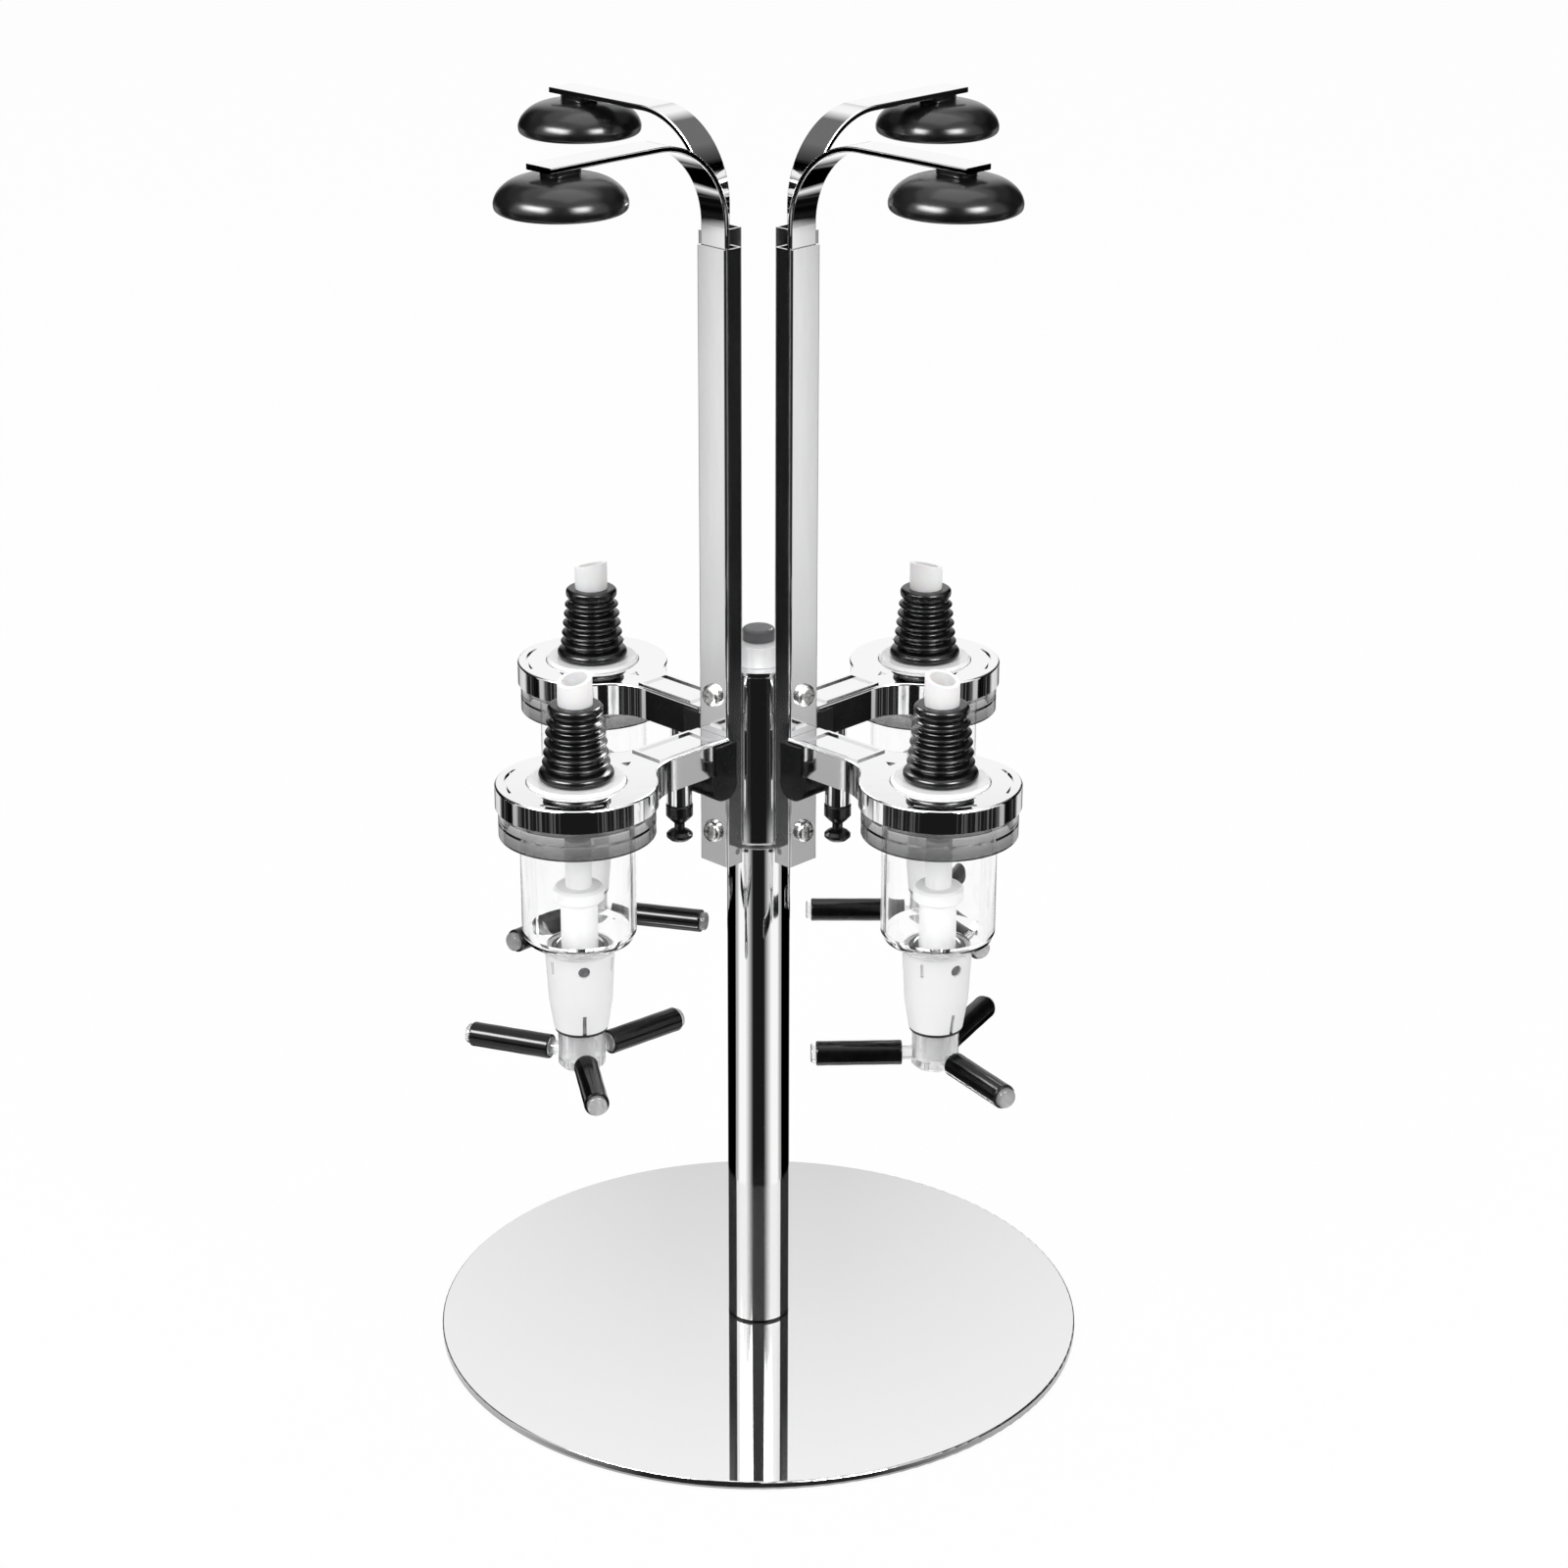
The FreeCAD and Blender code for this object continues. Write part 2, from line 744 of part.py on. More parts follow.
def arc_groove(angle):
    half = arc_groove_width / 2
    face = Part.Face(Part.makePolygon([
        FreeCAD.Vector(optic_radial + arc_groove_radius - half, 0, ring_top_z - arc_groove_depth),
        FreeCAD.Vector(optic_radial + arc_groove_radius + half, 0, ring_top_z - arc_groove_depth),
        FreeCAD.Vector(optic_radial + arc_groove_radius + half, 0, ring_top_z + overrun),
        FreeCAD.Vector(optic_radial + arc_groove_radius - half, 0, ring_top_z + overrun),
        FreeCAD.Vector(optic_radial + arc_groove_radius - half, 0, ring_top_z - arc_groove_depth),
    ]))
    centre = FreeCAD.Vector(optic_radial, 0, 0)
    groove = face.revolve(centre, FreeCAD.Vector(0, 0, 1), 2 * arc_groove_half_angle)
    groove.rotate(centre, FreeCAD.Vector(0, 0, 1), angle - arc_groove_half_angle)
    return groove


def flare_notch():
    corners = []
    for turn in (180, 300, 60, 180):
        corners.append(FreeCAD.Vector(
            notch_radial + notch_size * math.cos(math.radians(turn)),
            notch_size * math.sin(math.radians(turn)),
            ring_top_z - arc_groove_depth,
        ))
    return Part.Face(Part.makePolygon(corners)).extrude(FreeCAD.Vector(0, 0, 2.0))


def raised_frame():
    half = frame_width / 2
    low = ring_top_z - lap
    high = ring_top_z + frame_rise
    outer = block(frame_start, frame_start + frame_length, -half, half, low, high)
    inner = block(
        frame_start + frame_rim,
        frame_start + frame_length - frame_rim,
        frame_rim - half,
        half - frame_rim,
        low - overrun,
        high + overrun,
    )
    return outer.cut(inner)


def clamp_block():
    half = block_width / 2
    inner_half = bracket_arm_width / 2 - bracket_arm_wall - slip_clear
    lower = block(block_start, block_end, -half, half, block_bottom_z, bracket_skirt_z - slip_clear)
    near = block(block_start, bracket_skirt_start - slip_clear, -half, half,
                 block_bottom_z, bracket_top_under - slip_clear)
    tongue = block(bracket_skirt_start - lap, block_end, -inner_half, inner_half,
                   block_bottom_z + lap, bracket_top_under - slip_clear)
    body = joined(lower, near, tongue)
    notch = block(
        block_start - overrun,
        rail_outer_face + turn_clear,
        -rail_width / 2 - turn_clear,
        rail_width / 2 + turn_clear,
        block_bottom_z - overrun,
        ring_top_z,
    )
    body = rounded(
        body,
        block_corner_round,
        lambda edge, middle: abs(middle.z - block_bottom_z) < 0.01 and abs(middle.y) < 0.01,
    )
    return body.cut(notch)


def thumbscrew():
    low = thumb_bottom_z
    high = thumb_top_z
    knob = turned(
        [
            (0.0, low),
            (thumb_lower_radius - thumb_lower_bevel, low),
            (thumb_lower_radius, low + thumb_lower_bevel),
            (thumb_lower_radius, low + thumb_lower_band_top),
            (thumb_lower_radius - thumb_lower_taper, low + thumb_lower_band_top + thumb_lower_taper),
            (thumb_waist_radius, low + thumb_waist_low),
            (thumb_waist_radius, low + thumb_waist_high),
            (thumb_upper_radius - thumb_upper_taper, low + thumb_upper_taper_low),
            (thumb_upper_radius, low + thumb_upper_band_low),
            (thumb_upper_radius, high - thumb_upper_bevel),
            (thumb_upper_radius - thumb_upper_bevel, high),
            (thumb_screw_radius, high),
            (thumb_screw_radius, thumb_screw_top_z - 0.4),
            (thumb_screw_radius - 0.4, thumb_screw_top_z),
            (0.0, thumb_screw_top_z),
        ],
        thumb_radial,
    )
    return knob


# The measure: cap, chamber, stopper, inlet tube, nozzle and seal

def measure_cap():
    skirt_in = cap_skirt_radius - cap_skirt_wall
    deck_radius = ring_radius - ring_wall - loose_clear
    bore = inlet_radius + turn_clear
    boss = cap_boss_radius
    top = cap_boss_top_z
    groove_z = (cap_skirt_bottom_z + ring_bottom_z) / 2
    return turned(
        [
            (bore, cap_deck_bottom_z),
            (skirt_in, cap_deck_bottom_z),
            (skirt_in, cap_skirt_bottom_z),
            (cap_skirt_radius, cap_skirt_bottom_z),
            (cap_skirt_radius, groove_z - cap_groove_width / 2),
            (cap_skirt_radius - cap_groove_depth, groove_z),
            (cap_skirt_radius, groove_z + cap_groove_width / 2),
            (cap_skirt_radius, ring_bottom_z - slip_clear),
            (deck_radius, ring_bottom_z - slip_clear),
            (deck_radius, cap_deck_top_z),
            (boss, cap_deck_top_z),
            (boss, top - cap_boss_round),
            (boss - cap_boss_round, top),
            (bore, top),
        ],
        optic_radial,
    )


def chamber():
    wall = chamber_wall
    top = chamber_top_z
    neck_in = chamber_neck_radius - chamber_neck_wall
    return turned(
        [
            (chamber_neck_radius, chamber_neck_bottom_z),
            (chamber_neck_radius, chamber_neck_z),
            (nozzle_top_radius + 0.4, chamber_neck_z),
            (chamber_radius - 1.0, chamber_shoulder_z - 1.5),
            (chamber_radius, chamber_shoulder_z + 0.8),
            (chamber_radius, top - chamber_flange_thick),
            (chamber_flange_radius, top - chamber_flange_thick),
            (chamber_flange_radius, top),
            (chamber_radius - wall, top),
            (chamber_radius - wall, chamber_shoulder_z + 1.2),
            (chamber_radius - wall - 1.0, chamber_shoulder_z - 0.4),
            (nozzle_top_radius - 0.6, chamber_neck_z + wall),
            (neck_in, chamber_neck_z + wall),
            (neck_in, valve_seat_z),
            (valve_seat_radius, valve_seat_z),
            (valve_seat_radius, chamber_neck_bottom_z),
        ],
        optic_radial,
    )


def stopper():
    bottom = stopper_bottom_z
    flange_top = bottom + stopper_flange_height
    rim_low = stopper_top_z - stopper_rim_height
    pitch = (rim_low - flange_top) / (stopper_rib_count + 0.6)
    points = [
        (inlet_radius + turn_clear, bottom),
        (stopper_flange_radius - 1.2, bottom),
        (stopper_flange_radius - 0.2, bottom + 0.8),
        (stopper_flange_radius, bottom + 1.7),
        (stopper_flange_radius - 0.4, bottom + 2.6),
        (stopper_flange_radius - 1.6, flange_top),
    ]
    for number in range(stopper_rib_count):
        low = flange_top + (number + 0.45) * pitch
        share = (low - flange_top) / (rim_low - flange_top)
        crest = stopper_bottom_radius + (stopper_top_radius - stopper_bottom_radius) * share + 0.9
        root = crest - stopper_rib_depth
        points += [
            (root, low - pitch * 0.34),
            (crest - 0.25, low + pitch * 0.02),
            (crest, low + pitch * 0.2),
            (crest - 0.35, low + pitch * 0.36),
            (root, low + pitch * 0.5),
        ]
    points += [
        (stopper_rim_radius - 1.6, rim_low - 0.3),
        (stopper_rim_radius, rim_low + 0.3),
        (stopper_rim_radius, stopper_top_z - 0.5),
        (stopper_rim_radius - 0.7, stopper_top_z),
        (inlet_radius + turn_clear, stopper_top_z),
    ]
    return turned(points, optic_radial)


def inlet_tube():
    tube = ring(inlet_radius, inlet_radius - inlet_wall, cap_deck_bottom_z, inlet_top_z, optic_radial)
    wide = 4 * inlet_radius
    cutter = block(-wide, wide, -wide, wide, 0.0, wide)
    slope = math.degrees(math.atan2(inlet_cut_drop, 2 * inlet_radius))
    cutter.rotate(FreeCAD.Vector(0, 0, 0), FreeCAD.Vector(0, 1, 0), slope)
    cutter.translate(FreeCAD.Vector(optic_radial, 0, inlet_top_z - inlet_cut_drop / 2))
    return tube.cut(cutter)


def nozzle(lever_angle):
    neck_seat = chamber_neck_bottom_z - slip_clear
    neck_hole = chamber_neck_radius + turn_clear
    top = chamber_neck_z
    body = turned(
        [
            (nozzle_bore_radius, nozzle_bottom_z),
            (nozzle_mouth_radius, nozzle_bottom_z),
            (nozzle_middle_radius, nozzle_middle_z),
            (nozzle_top_radius, top - 0.6),
            (nozzle_top_radius - 0.5, top - slip_clear),
            (neck_hole, top - slip_clear),
            (neck_hole, neck_seat),
            (nozzle_bore_radius, neck_seat),
        ],
        optic_radial,
    )
    vent_z = top - nozzle_vent_below_top
    for number in range(lever_arm_count):
        angle = lever_angle + number * 360.0 / lever_arm_count
        vent = Part.makeCylinder(
            nozzle_vent_radius,
            nozzle_top_radius,
            FreeCAD.Vector(optic_radial + neck_hole + 0.6, 0, vent_z),
            FreeCAD.Vector(1, 0, 0),
        )
        slit = block(
            optic_radial + 1.0,
            optic_radial + nozzle_top_radius + overrun,
            -nozzle_slit_width / 2,
            nozzle_slit_width / 2,
            nozzle_bottom_z - overrun,
            nozzle_bottom_z + nozzle_slit_height,
        )
        slot = block(
            optic_radial + neck_hole + 0.6,
            optic_radial + nozzle_top_radius + overrun,
            -nozzle_slit_width / 2,
            nozzle_slit_width / 2,
            vent_z - nozzle_slot_length / 2,
            vent_z + nozzle_slot_length / 2,
        )
        body = body.cut(spun(vent, angle, optic_radial))
        body = body.cut(spun(slit, angle, optic_radial))
        body = body.cut(spun(slot, angle + 180.0 / lever_arm_count, optic_radial))
    return body


def nozzle_seal():
    return ring(
        seal_radius,
        lever_hub_radius + slip_clear,
        nozzle_bottom_z - seal_thick,
        nozzle_bottom_z,
        optic_radial,
    )


# The valve: stem, spring, lever and the sleeves on its arms

def valve_stem():
    flange_top = stem_bottom_z + stem_flange_height
    collar_top = stem_shoulder_z + stem_collar_height
    rod_bottom = lever_hub_bottom_z + lever_floor_thick + slip_clear
    return turned(
        [
            (0.0, rod_bottom),
            (stem_rod_radius, rod_bottom),
            (stem_rod_radius, stem_bottom_z),
            (stem_flange_radius, stem_bottom_z),
            (stem_flange_radius, flange_top),
            (stem_radius, flange_top + 0.8),
            (stem_radius, stem_shoulder_z),
            (stem_collar_radius - 0.8, stem_shoulder_z),
            (stem_collar_radius, stem_shoulder_z + 0.8),
            (stem_collar_radius, collar_top - 0.8),
            (stem_collar_radius - 0.8, collar_top),
            (stem_plunger_radius, collar_top),
            (stem_plunger_radius, stem_plunger_top_z - 0.8),
            (stem_plunger_radius - 0.8, stem_plunger_top_z),
            (0.0, stem_plunger_top_z),
        ],
        optic_radial,
    )


def valve_spring():
    return ring(
        valve_spring_radius,
        valve_spring_radius - valve_spring_wire,
        lever_socket_top_z,
        chamber_neck_bottom_z,
        optic_radial,
    )


def lever(lever_angle):
    floor_top = lever_hub_bottom_z + lever_floor_thick
    hub_in = lever_hub_radius - lever_hub_wall
    body = turned(
        [
            (0.0, lever_hub_bottom_z),
            (lever_hub_radius - lever_hub_chamfer, lever_hub_bottom_z),
            (lever_hub_radius, lever_hub_bottom_z + lever_hub_chamfer),
            (lever_hub_radius, lever_hub_top_z - 0.4),
            (lever_hub_radius - 0.4, lever_hub_top_z),
            (hub_in, lever_hub_top_z),
            (hub_in, floor_top),
            (lever_socket_radius, floor_top),
            (lever_socket_radius, lever_socket_top_z),
            (stem_bore_radius, lever_socket_top_z),
            (stem_bore_radius, floor_top),
            (0.0, floor_top),
        ],
        optic_radial,
    )
    arms = []
    for number in range(lever_arm_count):
        angle = lever_angle + number * 360.0 / lever_arm_count
        outward = FreeCAD.Vector(1, 0, 0)
        web = Part.makeCylinder(
            lever_web_radius,
            sleeve_start - hub_in + 0.2,
            FreeCAD.Vector(optic_radial + hub_in + 0.2, 0, lever_axis_z),
            outward,
        )
        rod = Part.makeCylinder(
            lever_rod_radius,
            lever_reach - sleeve_start,
            FreeCAD.Vector(optic_radial + sleeve_start, 0, lever_axis_z),
            outward,
        )
        tip = optic_radial + lever_reach
        rod = rounded(rod, 0.7, lambda edge, middle: edge.Closed and middle.x > tip - 0.1)
        arms.append(spun(joined(web, rod), angle, optic_radial))
    body = joined(body, *arms)
    drain_radial = (lever_socket_radius + hub_in) / 2
    for number in range(lever_arm_count):
        drain = cyl(
            lever_drain_radius,
            lever_hub_bottom_z - overrun,
            floor_top + overrun,
            optic_radial + drain_radial,
        )
        angle = lever_angle + (number + 0.5) * 360.0 / lever_arm_count
        body = body.cut(spun(drain, angle, optic_radial))
    return body


def lever_sleeves(lever_angle):
    sleeves = []
    for number in range(lever_arm_count):
        outward = FreeCAD.Vector(1, 0, 0)
        start = FreeCAD.Vector(optic_radial + sleeve_start, 0, lever_axis_z)
        outer = Part.makeCylinder(sleeve_radius, sleeve_length, start, outward)
        outer = rounded(outer, 0.35, lambda edge, middle: edge.Closed)
        hole = Part.makeCylinder(
            lever_rod_radius + turn_clear,
            sleeve_length + 2 * overrun,
            start - outward,
            outward,
        )
        angle = lever_angle + number * 360.0 / lever_arm_count
        sleeves.append(spun(outer.cut(hole), angle, optic_radial))
    return sleeves


# Write the foot, the column and the swivel
save("base_pad", base_pad())
save("base_plate", base_plate())
save("foot_bolt", foot_bolt())
save("column", column())
save("column_plugs", *column_plugs())
save("support_collar", support_collar())
save("thrust_washer", thrust_washer())
save("hub", hub())
save("pivot_bolt", pivot_bolt())
save("hub_knob", hub_knob())

# Write the pieces that each station has as nodes of its own
for name, angle, lever_plan in STATIONS:
    lever_angle = lever_plan - angle
    save("rail_" + name, spun(rail(), angle))
    save("arm_bar_" + name, spun(arm_bar(), angle))
    save("arm_spring_" + name, spun(arm_spring(), angle))
    save("cup_" + name, spun(cup(), angle))
    save("bracket_" + name, spun(bracket(), angle))
    save("thumbscrew_" + name, spun(thumbscrew(), angle))
    save("valve_stem_" + name, spun(valve_stem(), angle))
    save("valve_spring_" + name, spun(valve_spring(), angle))
    save("lever_" + name, spun(lever(lever_angle), angle))
    save("lever_sleeves_" + name, *[spun(sleeve, angle) for sleeve in lever_sleeves(lever_angle)])

# Write the small like pieces as groups of separate solids
screws = []
for name, angle, lever_plan in STATIONS:
    for height in rail_screw_heights:
        screws.append(spun(rail_screw(height), angle))
save("rail_screws", *screws)
GROUPS = (
    ("spring_pins", spring_pin),
    ("clamp_blocks", clamp_block),
    ("measure_caps", measure_cap),
    ("chambers", chamber),
    ("stoppers", stopper),
    ("inlet_tubes", inlet_tube),
    ("nozzle_seals", nozzle_seal),
)
for node, make in GROUPS:
    save(node, *[spun(make(), angle) for name, angle, lever_plan in STATIONS])
nozzles = []
for name, angle, lever_plan in STATIONS:
    nozzles.append(spun(nozzle(lever_plan - angle), angle))
save("nozzles", *nozzles)
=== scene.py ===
import math

import bmesh
import bpy
from mathutils import Matrix, Vector


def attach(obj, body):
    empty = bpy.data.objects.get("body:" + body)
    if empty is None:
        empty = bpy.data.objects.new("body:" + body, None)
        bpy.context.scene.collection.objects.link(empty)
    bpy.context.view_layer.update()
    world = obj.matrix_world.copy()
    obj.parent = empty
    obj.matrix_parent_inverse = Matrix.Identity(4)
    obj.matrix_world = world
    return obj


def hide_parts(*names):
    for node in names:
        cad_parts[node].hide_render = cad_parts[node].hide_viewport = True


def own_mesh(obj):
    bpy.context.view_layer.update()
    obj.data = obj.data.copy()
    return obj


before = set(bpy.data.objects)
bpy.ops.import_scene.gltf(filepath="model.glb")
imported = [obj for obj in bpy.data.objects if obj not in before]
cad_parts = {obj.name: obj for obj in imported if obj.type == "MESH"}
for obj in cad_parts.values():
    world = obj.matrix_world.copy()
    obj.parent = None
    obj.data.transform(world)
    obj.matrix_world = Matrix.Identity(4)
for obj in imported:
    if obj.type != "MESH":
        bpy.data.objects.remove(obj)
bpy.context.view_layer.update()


# Camera: a long lens in front of the stand and 21 cm above its top, looking
# down at the middle of the column as the photograph does.

camera_place = (0.0, -1.0734, 0.6273)
camera_tilt = 68.317
focal_length = 80.69
film_width = 36.0
picture_shift = 0.01625

lens = bpy.data.cameras.new("front_lens")
lens.lens = focal_length
lens.sensor_width = film_width
lens.shift_x = picture_shift
camera = bpy.data.objects.new("front_camera", lens)
camera.location = camera_place
camera.rotation_euler = (math.radians(camera_tilt), 0.0, 0.0)
bpy.context.scene.collection.objects.link(camera)
bpy.context.scene.camera = camera
bpy.context.scene.view_settings.view_transform = "Standard"


# Table and room: a plain white table top that runs out of sight under a white
# sky. Both stay white to the camera and to polish, and the table keeps a shadow.

table_half_side = 9.0
table_paint = 0.90
table_share_white = 0.95
sky_for_diffuse = 0.70


def seen_directly(tree):
    """1 for rays from the camera, from polish and through clear plastic, otherwise 0."""
    path = tree.nodes.new("ShaderNodeLightPath")
    polish = tree.nodes.new("ShaderNodeMath")
    polish.operation = "MAXIMUM"
    clear = tree.nodes.new("ShaderNodeMath")
    clear.operation = "MAXIMUM"
    tree.links.new(path.outputs["Is Camera Ray"], polish.inputs[0])
    tree.links.new(path.outputs["Is Glossy Ray"], polish.inputs[1])
    tree.links.new(polish.outputs[0], clear.inputs[0])
    tree.links.new(path.outputs["Is Transmission Ray"], clear.inputs[1])
    return clear.outputs[0]


def between(tree, source, low, high):
    """Map a 0 to 1 output to the range low to high."""
    spread = tree.nodes.new("ShaderNodeMapRange")
    spread.inputs["To Min"].default_value = low
    spread.inputs["To Max"].default_value = high
    tree.links.new(source, spread.inputs["Value"])
    return spread.outputs["Result"]


def table_finish():
    material = bpy.data.materials.new("white_table")
    material.use_nodes = True
    tree = material.node_tree
    tree.nodes.clear()
    paint = tree.nodes.new("ShaderNodeBsdfDiffuse")
    paint.inputs["Color"].default_value = (table_paint, table_paint, table_paint, 1.0)
    white = tree.nodes.new("ShaderNodeEmission")
    blend = tree.nodes.new("ShaderNodeMixShader")
    out = tree.nodes.new("ShaderNodeOutputMaterial")
    tree.links.new(between(tree, seen_directly(tree), 0.0, table_share_white), blend.inputs["Fac"])
    tree.links.new(paint.outputs["BSDF"], blend.inputs[1])
    tree.links.new(white.outputs["Emission"], blend.inputs[2])
    tree.links.new(blend.outputs["Shader"], out.inputs["Surface"])
    return material


table_corners = [(x * table_half_side, y * table_half_side, 0.0)
                 for x, y in ((-1, -1), (1, -1), (1, 1), (-1, 1))]
table_mesh = bpy.data.meshes.new("table_top")
table_mesh.from_pydata(table_corners, [], [(0, 1, 2, 3)])
table_mesh.materials.append(table_finish())
table = bpy.data.objects.new("table_top", table_mesh)
bpy.context.scene.collection.objects.link(table)

world = bpy.data.worlds.new("white_room")
bpy.context.scene.world = world
world.use_nodes = True
sky = world.node_tree.nodes["Background"]
sky.inputs["Color"].default_value = (1.0, 1.0, 1.0, 1.0)
world.node_tree.links.new(
    between(world.node_tree, seen_directly(world.node_tree), sky_for_diffuse, 1.0),
    sky.inputs["Strength"])


# Black studio flags: dark boards behind the camera and at the back sides, seen
# only in the polish, where they draw the long dark lines on the chrome. Each
# point of the boards has its cover, from 0 for an open gap to 1 for full black.

floor_radii = (0.1105, 0.2, 0.3, 0.33, 0.36, 0.38, 0.43, 0.46, 0.49, 0.53, 0.57, 0.60, 0.65, 0.70,
               0.75, 0.85, 0.96, 1.3, 1.72, 1.80, 2.4, 3.2)
floor_board_height = 0.0012
wall_heights = (0.3, 0.6, 0.9, 1.2, 1.5, 1.56, 1.62, 1.7, 1.85, 2.0, 2.16, 2.3, 3.0, 4.0)
wall_foot = 0.1
back_side = 92.0
straight_back = 154.0
flag_sides = 360


def along(value, stops):
    """The height at value of a line drawn through (place, height) stops."""
    if value <= stops[0][0]:
        return stops[0][1]
    for (low, first), (high, second) in zip(stops, stops[1:]):
        if value <= high:
            return first + (second - first) * (value - low) / (high - low)
    return stops[-1][1]


def cover_at(degrees, radius, height):
    """How dark a board is, from its angle off the front, its distance and its height."""
    on_wall = height > wall_foot
    side = along(radius, ((0.50, 0.58), (0.59, 0.54), (0.68, 0.42), (0.75, 0.28), (0.96, 0.16),
                          (1.30, 0.10), (1.72, 0.10), (1.80, 1.0)))
    edge = 1.0
    if on_wall:
        side = 0.1
        edge = along(height, ((2.0, 1.0), (2.3, 0.84)))
    near = along(degrees, ((20.0, 0.99), (34.0, 0.5), (48.0, 0.0), (72.0, 0.0), (84.0, side),
                           (90.0, side), (back_side, 1.0), (112.0, edge), (straight_back, edge),
                           (169.0, 0.0)))
    wide_streak = max(0.0, math.sin(degrees * 0.42)) ** 10
    fine_streak = max(0.0, math.sin(degrees * 1.1)) ** 14
    streaks = 0.99 - 0.12 * wide_streak - 0.16 * fine_streak
    far = along(degrees, ((20.0, 0.99), (26.0, streaks), (80.0, streaks), (84.0, side),
                          (90.0, side), (back_side, 1.0)))
    beyond = along(radius, ((0.46, 0.0), (0.49, 1.0)))
    if degrees > back_side:
        bend = along(degrees, ((back_side, 1.0), (102.0, 0.9), (108.0, 0.1), (140.0, 0.2),
                               (straight_back, 0.9)))
        ring = along(degrees, ((back_side, 1.0), (118.0, streaks), (126.0, 0.2), (142.0, 0.3),
                               (straight_back, 1.0)))
        far = bend + (ring - bend) * along(radius, ((0.47, 0.0), (0.50, 1.0)))
        beyond = along(radius, ((0.43, 0.0), (0.46, 1.0)))
    if on_wall or degrees > straight_back:
        beyond = 0.0
    haze = 0.0
    if on_wall:
        haze = along(height, ((1.52, 0.0), (1.62, 0.28), (1.75, 0.20), (1.87, 0.15), (2.0, 0.09),
                              (2.16, 0.03)))
        haze *= along(degrees, ((165.0, 0.0), (171.0, 0.4), (178.0, 1.0)))
    return max(near + (far - near) * beyond, haze)


def board_finish(name, share, grey, strength):
    """Open where the share stored in the mesh is 0, and a full even glow where it is 1."""
    material = bpy.data.materials.new(name)
    material.use_nodes = True
    tree = material.node_tree
    tree.nodes.clear()
    stored = tree.nodes.new("ShaderNodeAttribute")
    stored.attribute_name = share
    clear = tree.nodes.new("ShaderNodeBsdfTransparent")
    glow = tree.nodes.new("ShaderNodeEmission")
    glow.inputs["Color"].default_value = (grey, grey, grey, 1.0)
    glow.inputs["Strength"].default_value = strength
    blend = tree.nodes.new("ShaderNodeMixShader")
    out = tree.nodes.new("ShaderNodeOutputMaterial")
    tree.links.new(stored.outputs["Fac"], blend.inputs["Fac"])
    tree.links.new(clear.outputs["BSDF"], blend.inputs[1])
    tree.links.new(glow.outputs["Emission"], blend.inputs[2])
    tree.links.new(blend.outputs["Shader"], out.inputs["Surface"])
    return material


def polish_board(name, corners, faces, share, values, material):
    """Put up a board that only polish sees, with a share stored at each corner."""
    mesh = bpy.data.meshes.new(name)
    mesh.from_pydata(corners, [], faces)
    mesh.attributes.new(share, "FLOAT", "POINT").data.foreach_set("value", values)
    mesh.materials.append(material)
    board = bpy.data.objects.new(name, mesh)
    bpy.context.scene.collection.objects.link(board)
    board.visible_camera = False
    board.visible_diffuse = False
    board.visible_transmission = False
    board.visible_volume_scatter = False
    board.visible_shadow = False
    return board


flag_rows = [(radius, floor_board_height) for radius in floor_radii]
flag_rows += [(floor_radii[-1], height) for height in wall_heights]
corners = []
covers = []
for radius, height in flag_rows:
    for side in range(flag_sides):
        angle = 2 * math.pi * side / flag_sides
        corners.append((radius * math.sin(angle), -radius * math.cos(angle), height))
        degrees = math.degrees(min(angle, 2 * math.pi - angle))
        covers.append(cover_at(degrees, radius, height))
faces = []
for row in range(len(flag_rows) - 1):
    for side in range(flag_sides):
        after = (side + 1) % flag_sides
        low, high = row * flag_sides, (row + 1) * flag_sides
        faces.append((low + side, low + after, high + after, high + side))
flags = polish_board("studio_flags", corners, faces, "cover", covers,
                     board_finish("black_flags", "cover", 0.0, 1.0))


# Light cards: two long soft boxes before the stand, fading at their edges and
# seen only in the polish, which lay the highlights along the black rubber.

cards = (
    ("left_card", (-0.98, -0.90, 1.22), 0.68, 0.34, 36.0),
    ("right_card", (0.82, -1.04, 1.22), 0.44, 0.34, 30.0),
)
card_columns = 24
card_rows = 12
aim_height = 0.22


def face_stand(thing, place):
    """Set a card or a lamp at a place, turned to the middle of the stand."""
    thing.location = place
    aim = Vector((0.0, 0.0, aim_height)) - Vector(place)
    thing.rotation_euler = aim.to_track_quat("-Z", "Y").to_euler()


for name, place, half_width, half_depth, brightest in cards:
    corners = []
    glows = []
    for row in range(card_rows + 1):
        for column in range(card_columns + 1):
            across, up = 2 * column / card_columns - 1, 2 * row / card_rows - 1
            corners.append((across * half_width, up * half_depth, 0.0))
            glows.append((1 - across ** 4) * (1 - up * up))
    faces = []
    for row in range(card_rows):
        for column in range(card_columns):
            low = row * (card_columns + 1) + column
            high = low + card_columns + 1
            faces.append((low, low + 1, high + 1, high))
    card = polish_board(name, corners, faces, "glow", glows,
                        board_finish("card_light", "glow", 1.0, brightest))
    face_stand(card, place)


# Lamps: a soft box at each side of the front and a large one overhead, which
# shade the white plastic and keep a faint shadow on the table.

lamps = (
    ("left_box", (-0.92, -1.02, 1.22), 0.5, 6.0),
    ("right_box", (0.9, -1.0, 1.1), 0.4, 4.0),
    ("top_box", (0.1, 0.15, 1.9), 1.2, 7.0),
)

